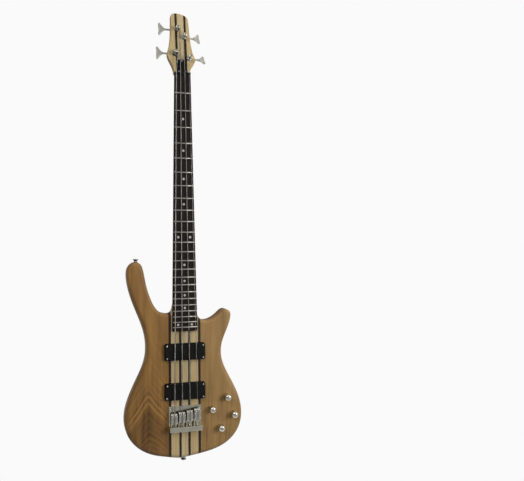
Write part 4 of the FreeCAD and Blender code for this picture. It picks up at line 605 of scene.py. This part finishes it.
def turned_form(radius, height, foot, axis, start=0.0):
    """Rings round an axis from its foot. Each row has a radius and a height for every column, and the columns
    go once round from a starting angle."""
    axis = unit(np.asarray(axis, dtype=float))
    guide = (1.0, 0.0, 0.0) if abs(axis[0]) < 0.9 else (0.0, 0.0, 1.0)
    first = unit(np.cross(axis, guide))
    second = np.cross(axis, first)
    angle = start + full_turn(radius.shape[1])
    ring = np.cos(angle)[:, None] * first + np.sin(angle)[:, None] * second
    return np.asarray(foot) + height[..., None] * axis + radius[..., None] * ring[None]


def spun(profile, columns):
    """Radius and height of a profile, repeated for every column."""
    return np.repeat(np.asarray(profile, dtype=float).T[..., None], columns, axis=-1)


def lathe(profile, foot, axis, columns=48, swell=1.0, rows=slice(None)):
    """Profile of radius and height turned round an axis from its foot. A swell, for each column, multiplies
    the radius in the rows given."""
    radius, height = spun(profile, columns)
    radius[rows] *= swell
    return turned_form(radius, height, foot, axis)


HEAD_FRONT = tilted((0.0, -1.0, 0.0), (0.0, 0.0, 0.0), HEAD[1])
POST_REACH = 0.017
POST_SIDE = [(0.0, -0.02545), (0.0025, -0.02545), (0.0025, -0.0238), (0.0048, -0.0238), (0.0048, 0.0016),
             (0.0039, 0.0017), (0.0039, 0.0130), (0.0047, 0.0142), (0.0048, 0.0145)]
POST_TOP = [(0.0048, 0.0157), (0.0046, 0.0163), (0.0042, 0.0167), (0.0036, POST_REACH), (0.0030, POST_REACH),
            (0.0024, POST_REACH), (0.0018, POST_REACH), (0.0015, POST_REACH)]
POST_BORE = [(0.0015, 0.0122), (0.0, 0.0122)]
POST_SLOT_HALF = 0.0009
POST_SLOT_DEPTH = 0.0011
WHEEL_PROFILE = [
    (0.0049, -0.0207), (0.0064, -0.0207), (0.0064, -0.0177), (0.0049, -0.0177), (0.0049, -0.0207)]


def post_shells(x, up):
    """Post turned with a waist for the string and bored down its middle. Its top drops along a cut across it,
    by a depth that fades at the cut's sides. On it sits the worm wheel, whose radius waves with its teeth."""
    columns = 96
    radius, height = spun(POST_SIDE + POST_TOP + POST_BORE, columns)
    top = slice(len(POST_SIDE), len(POST_SIDE) + len(POST_TOP))
    off_middle = np.abs(radius[top] * np.sin(full_turn(columns)))
    cut = np.clip((POST_SLOT_HALF - off_middle) / (0.3 * POST_SLOT_HALF), 0, 1)
    height[top] = np.minimum(height[top], POST_REACH - cut * (POST_SLOT_DEPTH + POST_REACH - height[top]))
    foot = tilted((x, 0.0, up), *HEAD)
    wheel_columns = 8 * WHEEL_TEETH
    teeth = 1 + 0.085 * np.clip(1.4 * np.cos(WHEEL_TEETH * full_turn(wheel_columns)), -1, 1)
    return [turned_form(radius, height, foot, HEAD_FRONT),
            lathe(WHEEL_PROFILE, foot, HEAD_FRONT, wheel_columns, teeth, slice(1, 3))]


for name, post_x, post_up, side, degrees in zip(STRINGS, POST_X, POST_UP, SIDES, KEY_TURNS):
    piece("key_" + name, tuner_key(post_x, post_up, side, degrees), satin, "tuner_key_" + name,
          ["tuner_key_" + name], crease=40)
    piece("string_post_" + name, post_shells(post_x, post_up), chrome, "tuner_post_" + name,
          ["tuner_post_" + name])

# Bridge: a bent plate screwed to the core, with a saddle for each string that slides on it, and a
# long screw through the plate's lip that sets each saddle's place. Chromed, with steel screws.
SADDLE_SPACING = 0.020
SADDLE_STEP = 0.003


def plate_chrome():
    """Chrome of the plate, with shade painted dark and dull on its face where the saddles would shade it: in
    the narrow gaps between the saddles, and under their noses as far as a line that climbs across the plate
    with them."""
    material, tree, shader, point = finish("plate_chrome")
    marks = grouped(tree, HANDLED, point, 70.0)
    spot = split(tree, point)
    climb = maths(tree, "SUBTRACT", spot["Z"], product(tree, spot["X"], SADDLE_STEP / SADDLE_SPACING))
    below_noses = eased(tree, climb, 0.1352, 0.1388, 1.0, 0.0)
    on_face = spread(tree, spot["Y"], -0.0238, -0.0233)
    in_edges = spread(tree, maths(tree, "ABSOLUTE", spot["X"]), 0.038, 0.0405, 1.0, 0.0)
    gap = spread(tree, maths(tree, "PINGPONG", spot["X"], SADDLE_SPACING / 2), 0.0018, 0.0026, 1.0, 0.0)
    shaded_zone = maths(tree, "MAXIMUM", gap, spread(tree, climb, 0.116, 0.122))
    # Painted shade: the gaps between the saddles and the band under their noses are painted near black and
    # made rougher.
    painted_shade = product(tree, below_noses, on_face, in_edges, shaded_zone)
    plate_colour = blended(tree, marks["Smudge"], (0.80, 0.77, 0.63, 1), (0.67, 0.64, 0.52, 1))
    link(tree, shader, Base_Color=blended(tree, painted_shade, plate_colour, (0.05, 0.048, 0.043, 1)), Metallic=1.0,
         Roughness=total(tree, spread(tree, marks["Haze"], 0.0, 1.0, 0.08, 0.2), product(tree, painted_shade, 0.3)))
    return material


paint(plate_chrome(), "bridge_plate")
CROWN_Z = 0.1245 + SADDLE_STEP * np.arange(4)
BRIDGE_X = -0.030 + SADDLE_SPACING * np.arange(4)
SADDLE_WIDTH = 0.0164
SADDLE_TAIL = 0.022
SADDLE_NOSE = 0.005
SADDLE_ROUND = 0.0012
HEIGHT_SCREW_ASIDE = 0.0056
CHANNEL_WIDTH = 0.0042
PLATE_TOP = -0.0231


def softened(corners, reach, steps=5, closed=True):
    """Polygon whose corners are replaced by short curves: each corner's curve runs from a reach before it to
    a reach after it, as a square-law blend of the two sides."""
    corners = np.asarray(corners, dtype=float)
    before, after = np.roll(corners, 1, axis=0), np.roll(corners, -1, axis=0)
    back, ahead = before - corners, after - corners
    far_back, far_ahead = np.linalg.norm(back, axis=1), np.linalg.norm(ahead, axis=1)
    limit = np.minimum(np.broadcast_to(reach, far_back.shape), 0.5 * np.minimum(far_back, far_ahead))
    enter = corners + unit(back) * limit[:, None]
    leave = corners + unit(ahead) * limit[:, None]
    t = np.linspace(0, 1, steps)[None, :, None]
    curve = (1 - t) ** 2 * enter[:, None] + 2 * t * (1 - t) * corners[:, None] + t ** 2 * leave[:, None]
    if not closed:
        return np.concatenate([corners[:1], curve[1:-1].reshape(-1, corners.shape[1]), corners[-1:]])
    return curve.reshape(-1, corners.shape[1])


def bar(profile, low, high, bevel):
    """Closed profile in depth and height carried across from one x to another, drawn in at both ends by a
    quarter-round bevel and closed to its middle."""
    middle = profile.mean(axis=0)
    arm = profile - middle
    length = np.linalg.norm(arm, axis=1, keepdims=True)
    quarter = np.linspace(0, math.pi / 2, 4)
    inset, run = bevel * (1 - np.sin(quarter)), bevel * (1 - np.cos(quarter))
    inset = np.concatenate([inset, inset[::-1]])
    rings = middle + arm * (1 - inset[:, None, None] / length)
    ends = np.broadcast_to(middle, (1,) + profile.shape)
    rings = np.concatenate([ends, rings, ends])
    x = np.concatenate([[low], low + run, high - run[::-1], [high]])
    return np.concatenate([np.broadcast_to(x[:, None, None], rings.shape[:2] + (1,)), rings], axis=-1)


FORWARD = (0.0, -1.0, 0.0)


def saddle_shells(x, crown):
    """Block whose top slopes down from the crown to the tail and to the nose, and is sunk along its middle
    behind the crown so the string runs free: two side bars with a lower bar between them. In it stand two
    height screws with sunk six-sided sockets."""
    tail, front = crown - SADDLE_TAIL, crown + SADDLE_NOSE
    foot = [(PLATE_TOP, front), (PLATE_TOP, tail)]
    nose = [(-0.0354, crown - 0.0012), (-0.0354, crown + 0.0004), (-0.0314, front)]
    side_bar = softened(foot + [(-0.0328, tail)] + nose, SADDLE_ROUND)
    sunk_bar = softened(foot + [(-0.0300, tail), (-0.0306, crown - 0.0045)] + nose, SADDLE_ROUND)
    half, channel = SADDLE_WIDTH / 2, CHANNEL_WIDTH / 2
    shells = [bar(side_bar, x - half, x - channel, 0.0006), bar(side_bar, x + channel, x + half, 0.0006),
              bar(sunk_bar, x - channel - 0.0007, x + channel + 0.0007, 0.0003)]
    columns = 24
    profile = [(0, 0), (0.0015, 0), (0.0015, 0.0121), (0.0013, 0.0124), (0.00085, 0.0124), (0.00085, 0.0108),
               (0, 0.0108)]
    six_sided = math.cos(math.pi / 6) / np.cos(np.mod(full_turn(columns), math.pi / 3) - math.pi / 6)
    for across in (-HEIGHT_SCREW_ASIDE, HEIGHT_SCREW_ASIDE):
        foot = (x + across, PLATE_TOP, crown - 0.005)
        shells.append(lathe(profile, foot, FORWARD, columns, six_sided, slice(4, 6)))
    return shells


def crossed_head(radius, crown, arm, half_arm, depth):
    """Rows of a domed head from its rim to its middle: heights fall along two crossed slots by a depth that
    fades at the slots' sides and ends. Gives radii and heights for every row and column."""
    angle = full_turn(48)
    share = np.linspace(1, 0, 13)
    r = radius * share[:, None] + 0 * angle[None]
    dome = crown * np.sqrt(np.clip(1 - (0.96 * share[:, None]) ** 2, 0, 1)) + 0 * angle[None]
    x, y = np.abs(r * np.cos(angle)), np.abs(r * np.sin(angle))
    slot = np.clip((half_arm - np.minimum(x, y)) / (0.35 * half_arm), 0, 1)
    slot = slot * np.clip((arm - np.maximum(x, y)) / (0.3 * arm), 0, 1)
    return r, dome - depth * slot


def screw_shell(foot, axis, head_radius, crown, shank_radius, length, rim=0.0):
    """Wood screw: point, plain shank, and a head with a crossed recess, turned round its axis."""
    recess = 0.62 * (crown + rim) + 0.0003
    r, h = crossed_head(head_radius, crown, 0.72 * head_radius, 0.17 * head_radius, recess)
    lower = [(0.0, -length), (shank_radius, -length + 2 * shank_radius), (shank_radius, 0.0),
             (head_radius, 0.0)]
    lower_radius, lower_height = spun(lower, r.shape[1])
    radius = np.concatenate([lower_radius, r])
    return turned_form(radius, np.concatenate([lower_height, h + rim]), foot, axis, 0.4)


THREAD_PITCH = 0.0005


def intonation_shell(x):
    """Machine screw: a cylinder whose radius waves with a helix along its thread, and a round head."""
    run = np.arange(0.0135, 0.0365, 0.000125)
    lower = np.array([(0.0, 0.0380), (0.0008, 0.0376), (0.0014, 0.0368)])[::-1]
    head = np.array([
        (0.0, -0.0019), (0.0005, -0.0019), (0.0005, -0.0024), (0.0021, -0.0024), (0.0026, -0.0019),
        (0.0026, -0.0001), (0.0015, -0.0001), (0.0015, 0.0132)])
    shank = np.stack([np.full(run.shape, 0.00138), run], axis=-1)
    profile = np.concatenate([head, shank, lower])
    columns = 24
    wave = 1 + 0.085 * np.cos(2 * math.pi * run[:, None] / THREAD_PITCH - full_turn(columns))
    threaded = slice(len(head), len(head) + len(run))
    return lathe(profile, (x, -0.0278, 0.0850), (0.0, 0.0, 1.0), columns, wave, threaded)


screw_steel = soft_metal("screw_steel", (0.60, 0.60, 0.60, 1), (0.42, 0.42, 0.42, 1), 0.16, 0.34, 300.0)
for name, x, crown in zip(STRINGS, BRIDGE_X, CROWN_Z):
    piece("saddle_block_" + name, saddle_shells(x, crown), chrome, "saddle_" + name,
          ["saddle_" + name])
    piece("intonation_" + name, [intonation_shell(x)], screw_steel, "intonation_screw_" + name,
          ["intonation_screw_" + name], crease=60)

# Pickups: two moulded plastic covers let into the body, each screwed down at its corners, with copper
# coils and bar magnets potted inside.
pickup_black = moulded_black("pickup_black", tint(12, 12, 11), 0.5, 0.64)
paint(pickup_black, "neck_pickup_cover", "bridge_pickup_cover")


def inner_finish(name, first, second, metallic, roughness):
    """Plain finish of a piece inside the body: two near shades in a fine grain."""
    material, tree, shader, point = finish(name)
    share = grouped(tree, GRAIN, point, 500.0)["Grain"]
    link(tree, shader, Base_Color=blended(tree, share, first, second), Metallic=metallic,
         Roughness=spread(tree, share, 0.0, 1.0, roughness - 0.08, roughness + 0.08))
    return material


paint(inner_finish("coil_copper", tint(168, 92, 52), tint(120, 60, 34), 0.9, 0.4), "pickup_coils")
paint(inner_finish("magnet_grey", tint(92, 90, 88), tint(60, 58, 57), 0.6, 0.5), "pickup_magnets")

# Controls: four domed knobs of chromed metal, pushed on the shafts of pots that hang in the cavity
# and are held by nuts on the face.
KNOB_SPOTS = [(0.362, 0.301), (0.230, 0.245), (0.421, 0.210), (0.306, 0.146)]
BODY_WIDTH, BODY_LENGTH, BODY_FOOT = 0.309, 0.503, 0.0092
FACE_Y = -0.020
KNOB_RIBS = 48


def knob_shell(x, z):
    """Hollow knob turned in one pass: socket, skirt, finely ribbed side, and a quarter-round dome."""
    rise = np.linspace(0, math.pi / 2, 12)
    dome = np.stack([0.0024 + 0.006 * np.cos(rise), 0.012 + 0.006 * np.sin(rise)], axis=-1)
    profile = np.concatenate([
        [(0.0, 0.012), (0.00305, 0.012), (0.00305, 0.004), (0.0072, 0.004), (0.0072, 0.0004),
         (0.0081, 0.0004), (0.0084, 0.0007), (0.0084, 0.0018), (0.0084, 0.0021), (0.0084, 0.0108),
         (0.0084, 0.0111)], dome, [(0.0012, 0.018), (0.0, 0.018)]])
    columns = 4 * KNOB_RIBS
    ribs = 1 - 0.016 * (0.5 - 0.5 * np.cos(KNOB_RIBS * full_turn(columns)))
    return lathe(profile, (x, FACE_Y, z), FORWARD, columns, ribs, slice(8, 10))


for number, (across, along) in enumerate(KNOB_SPOTS, start=1):
    x, z = across * BODY_WIDTH, BODY_FOOT + along * BODY_LENGTH
    piece("domed_knob_%d" % number, [knob_shell(x, z)], chrome, "control_%d" % number,
          ["knob_%d" % number])
pot_steel = inner_finish("pot_steel", tint(150, 150, 148), tint(118, 118, 116), 1.0, 0.4)
paint(pot_steel, "pots", *["pot_shaft_%d" % number for number in (1, 2, 3, 4)], "truss_rod")
paint(chrome, "pot_nuts")

# Electronics: a preamp board of glass-fibre laminate and a battery with its plastic clip, each in a cavity
# of the treble wing, and a chromed barrel jack in the rim.
paint(inner_finish("board_green", tint(40, 92, 62), tint(28, 70, 46), 0.0, 0.45), "preamp_board")
paint(inner_finish("battery_case", tint(70, 66, 60), tint(44, 42, 40), 0.3, 0.4), "battery")
paint(inner_finish("clip_plastic", tint(40, 40, 42), tint(28, 28, 30), 0.0, 0.5), "battery_clip")
paint(chrome, "output_jack")

# Back covers: two flat plates of black plastic that lie on ledges in the treble wing's back, over the
# controls and over the battery. Small screws hold them.
cover_black = moulded_black("cover_black", tint(11, 11, 10), 0.44, 0.58)
paint(cover_black, "control_cover", "battery_cover")


# Strap buttons: turned steel buttons, plated dark, with a waist for the strap. One stands on the tail and
# one on the bass horn, each held by a long wood screw.
def button_shell(foot, axis):
    """Base, waist and head of a button as one smooth turning, with a sunk middle for the screw's head."""
    corners = [(0.0, 0.0), (0.0055, 0.0), (0.0054, 0.0011), (0.0040, 0.0034), (0.0040, 0.0052),
               (0.0070, 0.0076), (0.0070, 0.0095), (0.0040, 0.0095), (0.0021, 0.0078), (0.0, 0.0078)]
    return lathe(softened(corners, 0.0007, 5, False), foot, axis, 48)


button_steel = soft_metal("button_steel", (0.30, 0.30, 0.29, 1), (0.22, 0.22, 0.21, 1), 0.16, 0.3, 70.0)
horn_foot = (-0.395 * BODY_WIDTH, 0.0, BODY_FOOT + 0.996 * BODY_LENGTH)
button_shells = []
for foot, axis in (((0.0, 0.0, 0.0095), (0.0, 0.0, -1.0)), (horn_foot, (0.0, 0.0, 1.0))):
    button_shells.append(button_shell(foot, axis))
    head = np.asarray(foot) + np.asarray(axis) * 0.0079
    button_shells.append(screw_shell(head, axis, 0.0036, 0.0011, 0.002, 0.0245))
piece("turned_buttons", button_shells, button_steel, "instrument", ["strap_buttons"], crease=45)

# Screws: small steel wood screws with crossed recesses, domed on the covers, pickups and tuners, and
# sunk flush in the bridge plate.
BACKWARD = (0.0, 1.0, 0.0)
PICKUP_SHANK = 0.027
PICKUP_FACE = -0.0285
PICKUP_CORNERS = [(x, z) for x in (-0.0471, 0.0471) for z in (-0.0156, 0.0156)]
PICKUP_PLACES = NECK[0][2] + np.array([0.1772, 0.0608]) * SCALE_LENGTH
PLATE_HALF_WIDTH, PLATE_HEIGHT, PLATE_UPPER_EDGE = 0.042, 0.049, 0.1460
PLATE_HOLES = [(-0.86, 0.86), (0.0, 0.86), (0.86, 0.86), (-0.86, 0.20), (0.86, 0.20)]
TAB_DEPTH = 0.0165
TAB_BELOW_POST = 0.01245
COVER_SCREW_INSET = 0.0025


def small_screw(foot, axis, length=0.009):
    """Domed wood screw of the size used on all but the bridge and the buttons."""
    return screw_shell(foot, axis, 0.0021, 0.0008, 0.0011, length, rim=0.0003)


def fixings(name, shells, node):
    """Screws of one kind as one piece in place of their CAD node."""
    piece(name, shells, screw_steel, "instrument", [node])


fixings("pickup_fixings", [
    small_screw((x, PICKUP_FACE, middle + z), FORWARD, PICKUP_SHANK)
    for middle in PICKUP_PLACES for x, z in PICKUP_CORNERS], "pickup_screws")
fixings("bridge_fixings", [
    screw_shell((across * PLATE_HALF_WIDTH, -0.0229, PLATE_UPPER_EDGE - PLATE_HEIGHT * (1 - along)), FORWARD,
                head_radius=0.0030, crown=0.00015, shank_radius=0.0015, length=0.0159)
    for across, along in PLATE_HOLES], "bridge_screws")
tuner_spots = tilted(np.stack([POST_X, np.full(4, TAB_DEPTH), POST_UP - TAB_BELOW_POST], axis=-1), *HEAD)
fixings("tuner_fixings", [small_screw(spot, -HEAD_FRONT) for spot in tuner_spots], "tuner_screws")
cover_corners = np.array([(0.375, 0.364), (0.130, 0.237), (0.259, 0.054), (0.485, 0.181)])
cover_corners = cover_corners * (BODY_WIDTH, BODY_LENGTH) + (0.0, BODY_FOOT)
side_next = np.roll(cover_corners, -1, axis=0)
side_middle = (cover_corners + side_next) / 2
side_way = unit(side_next - cover_corners)
inward = cover_corners.mean(axis=0) - side_middle
inward = unit(inward - side_way * (inward * side_way).sum(axis=1, keepdims=True))
battery_spots = [(0.066, BODY_FOOT + 0.455 * BODY_LENGTH + dz) for dz in (-0.037, 0.037)]
cover_spots = np.concatenate([side_middle + COVER_SCREW_INSET * inward, battery_spots])
cover_shells = [small_screw((x, -FACE_Y, z), BACKWARD) for x, z in cover_spots]
rod_spots = tilted([(-0.00885, -0.0024, 0.00315), (0.00885, -0.0024, 0.00315), (0.0, -0.0024, 0.0337)], *HEAD)
cover_shells += [small_screw(spot, HEAD_FRONT) for spot in rod_spots]
fixings("cover_fixings", cover_shells, "cover_screws")

# Strings: round-wound steel, each from its ball end in the bridge's lip, over saddle and nut, to its
# turns round the post. A wrap wire covers the core along the whole length.
STRING_RADII = [0.00132, 0.00107, 0.00083, 0.00057]
NUT_X = 0.0113 * (np.arange(4) - 1.5)
NUT_SLOT_RISE = 0.0006
SADDLE_RISE = 0.016
ANCHOR_Z = 0.0893
BREAK = math.tan(math.radians(4.5))
BALL_RADIUS = 0.003
BALL_BACK = 0.0022
BEND_REACH = 0.004
WAIST_RADIUS = 0.0039
WIND_CLEAR = 0.0003
WIND_GAP = 0.00055
WIND_START = 0.0115
WIND_TURNS = 2.5


def string_shell(index):
    """Tube along the string's line: straight runs with eased bends at saddle and nut, then a helix down the
    post. At the start the radius follows the ball, a sphere cut flat where the wire leaves it."""
    radius, side = STRING_RADII[index], SIDES[index]
    crown = np.array([BRIDGE_X[index], FACE_Y - SADDLE_RISE - radius, CROWN_Z[index]])
    anchor = np.array([BRIDGE_X[index], crown[1] + (crown[2] - ANCHOR_Z) * BREAK, ANCHOR_Z])
    nut_point = np.array([NUT_X[index], -NUT_SLOT_RISE - radius, SCALE_LENGTH + NUT_THICKNESS / 2])
    wind = WAIST_RADIUS + WIND_CLEAR + radius
    post = np.array([POST_X[index], 0.0, POST_UP[index]])
    nut_world = tilted(nut_point, *NECK)
    offset = nut_world - np.asarray(HEAD[0])
    lean = math.radians(HEAD[1])
    nut_up = offset[2] * math.cos(lean) + offset[1] * math.sin(lean)
    swing = math.atan2(nut_point[0] - (post[0] - side * wind), post[2] - nut_up)
    first = (0 if side < 0 else math.pi) + swing
    turned_by = np.linspace(0, WIND_TURNS * 2 * math.pi, int(40 * WIND_TURNS) + 1)
    angle = first - side * turned_by
    drop = (2 * radius + WIND_GAP) * turned_by / (2 * math.pi)
    coil_x, coil_z = post[0] + wind * np.cos(angle), post[2] + wind * np.sin(angle)
    helix = tilted(np.stack([coil_x, drop - WIND_START, coil_z], axis=-1), *HEAD)
    end = helix[-1] + unit(helix[-1] - helix[-2]) * 2 * radius
    line = softened([anchor, crown, nut_world, helix[0]], BEND_REACH, 7, False)
    away = unit(line[1] - anchor)
    sweep = np.linspace(0, math.acos(-BALL_BACK / BALL_RADIUS), 12)
    ball = anchor + away * (-BALL_BACK - BALL_RADIUS * np.cos(sweep))[:, None]
    ball_radius = BALL_RADIUS * np.sin(sweep)
    path = np.concatenate([ball, anchor[None], line[1:], helix[1:], end[None], end[None]])
    size = np.concatenate([ball_radius, np.full(len(path) - len(ball), radius)])
    size[[0, -1]] = 0.0
    heading = np.gradient(path, axis=0)
    heading[:len(ball) + 1] = away
    heading[-2:] = end - helix[-1]
    heading = unit(heading)
    rise = unit(HEAD_FRONT - heading * (heading @ HEAD_FRONT)[:, None])
    aside = np.cross(heading, rise)
    around = full_turn(16)
    ring = np.cos(around)[None, :, None] * rise[:, None] + np.sin(around)[None, :, None] * aside[:, None]
    return path[:, None] + size[:, None, None] * ring


WRAPS_PER_METRE = 2200.0


def wound_steel():
    """Wrap wire: a close helix round the string, in the wire's own colour on its crowns with painted shade
    dark between them, and with worn and tarnished stretches."""
    material, tree, shader, point = finish("wound_steel")
    spot = split(tree, place(tree, "ShaderNodeUVMap", uv_map="along_and_round").outputs["UV"])
    lead = total(tree, product(tree, spot["X"], WRAPS_PER_METRE), spot["Y"])
    wave = maths(tree, "PINGPONG", lead, 0.5)
    crown = eased(tree, wave, 0.05, 0.4)
    worn = cloud(tree, point, 30.0, 4.0)
    wire_colour = blended(tree, spread(tree, worn, 0.35, 0.7), (0.50, 0.49, 0.46, 1), (0.32, 0.30, 0.28, 1))
    # Painted shade: the grooves between the wrap's turns are painted near black.
    link(tree, shader, Base_Color=blended(tree, crown, (0.10, 0.095, 0.09, 1), wire_colour), Metallic=1.0,
         Roughness=spread(tree, worn, 0.3, 0.7, 0.26, 0.42), Normal=bumped(tree, crown, 0.0001))
    return material


string_steel = wound_steel()
for index, name in enumerate(STRINGS):
    piece("wound_string_" + name, [string_shell(index)], string_steel, "instrument",
          ["string_" + name], uv=True, crease=60)


# Studio: a pale floor under a white surround that only the camera sees, a soft grey room for the
# reflections, and large soft lights at both sides. The light behind is kept out of the reflections.
def floor_white():
    """White card: bright to the camera and dim as a light from below. In the metal's reflections it is grey
    in front and bright from just before the object on."""
    material, tree, shader, point = finish("floor_white")
    ray = place(tree, "ShaderNodeLightPath").outputs
    mirrored = eased(tree, split(tree, point)["Y"], -0.17, -0.09, 0.34, 0.8)
    lit = spread(tree, ray["Is Glossy Ray"], 0.0, 1.0, 0.12, mirrored)
    lit = total(tree, lit, product(tree, ray["Is Camera Ray"], 0.835))
    link(tree, shader, Base_Color=(0, 0, 0, 1), Roughness=0.9, Specular_IOR_Level=0.0,
         Emission_Color=(1, 1, 1, 1), Emission_Strength=lit)
    return material


FLOOR_REACH = 60.0
floor_corners = [(FLOOR_REACH * x, FLOOR_REACH * y, 0) for x, y in ((-1, -1), (1, -1), (1, 1), (-1, 1))]
floor_mesh = bpy.data.meshes.new("floor")
floor_mesh.from_pydata(floor_corners, [], [(0, 1, 2, 3)])
floor_mesh.materials.append(floor_white())
shown("floor", floor_mesh)

world = bpy.data.worlds.new("studio")
bpy.context.scene.world = world
world.use_nodes = True
tree = world.node_tree
tree.nodes.clear()
seen = place(tree, "ShaderNodeLightPath").outputs["Is Camera Ray"]
aim = split(tree, place(tree, "ShaderNodeTexCoord").outputs["Generated"])
walls = product(tree, eased(tree, aim["Z"], 0.66, 0.85, 0.33, 0.06),
                eased(tree, aim["X"], -0.9, 0.9, 0.35, 1.65))
ceiling = eased(tree, aim["Z"], 0.85, 0.89, 0.0, 1.05)
room = place(tree, "ShaderNodeBackground", {
    "Color": (1.0, 0.98, 0.94, 1), "Strength": total(tree, walls, ceiling)})
backdrop = place(tree, "ShaderNodeBackground", {"Color": (0.955, 0.955, 0.955, 1), "Strength": 1.0})
mixed = place(tree, "ShaderNodeMixShader", {0: seen, 1: room.outputs[0], 2: backdrop.outputs[0]})
place(tree, "ShaderNodeOutputWorld", {"Surface": mixed.outputs[0]})


def soft_light(name, spot, target, width, height, power):
    """Area light at a spot, facing a target."""
    lamp = bpy.data.lights.new(name, "AREA")
    lamp.shape = "RECTANGLE"
    lamp.size, lamp.size_y = width, height
    lamp.energy = power
    made = shown(name, lamp)
    back = unit(np.asarray(spot, dtype=float) - np.asarray(target, dtype=float))
    right = unit(np.cross((0.0, 0.0, 1.0), back))
    rows = np.stack([right, np.cross(back, right), back, spot], axis=-1)
    made.matrix_world = Matrix([*rows.tolist(), (0, 0, 0, 1)])
    return made


soft_light("key_light", (1.7, -1.8, 0.93), (0.0, 0.0, 0.93), 1.0, 1.1, 36.0)
soft_light("fill_light", (-1.45, -1.8, 2.3), (0.0, 0.0, 1.45), 1.2, 0.9, 28.0)
back_light = soft_light("back_light", (1.9, 2.1, 0.9), (0.0, 0.0, 0.55), 1.4, 1.6, 42.0)
back_light.visible_glossy = False

CAMERA_SPOT = (-0.2866, -1.2643, 0.5665)
CAMERA_YAW = -13.01
CAMERA_ROLL = -0.275
lens = bpy.data.cameras.new("camera")
lens.lens = 34.35
lens.sensor_width = 36.0
lens.shift_x = 0.148
camera = shown("camera", lens)
camera.matrix_world = (
    Matrix.Translation(CAMERA_SPOT) @ Matrix.Rotation(math.radians(CAMERA_YAW), 4, "Z")
    @ Matrix.Rotation(math.radians(90.0), 4, "X") @ Matrix.Rotation(math.radians(CAMERA_ROLL), 4, "Z"))
bpy.context.scene.camera = camera
bpy.context.scene.view_settings.view_transform = "Standard"
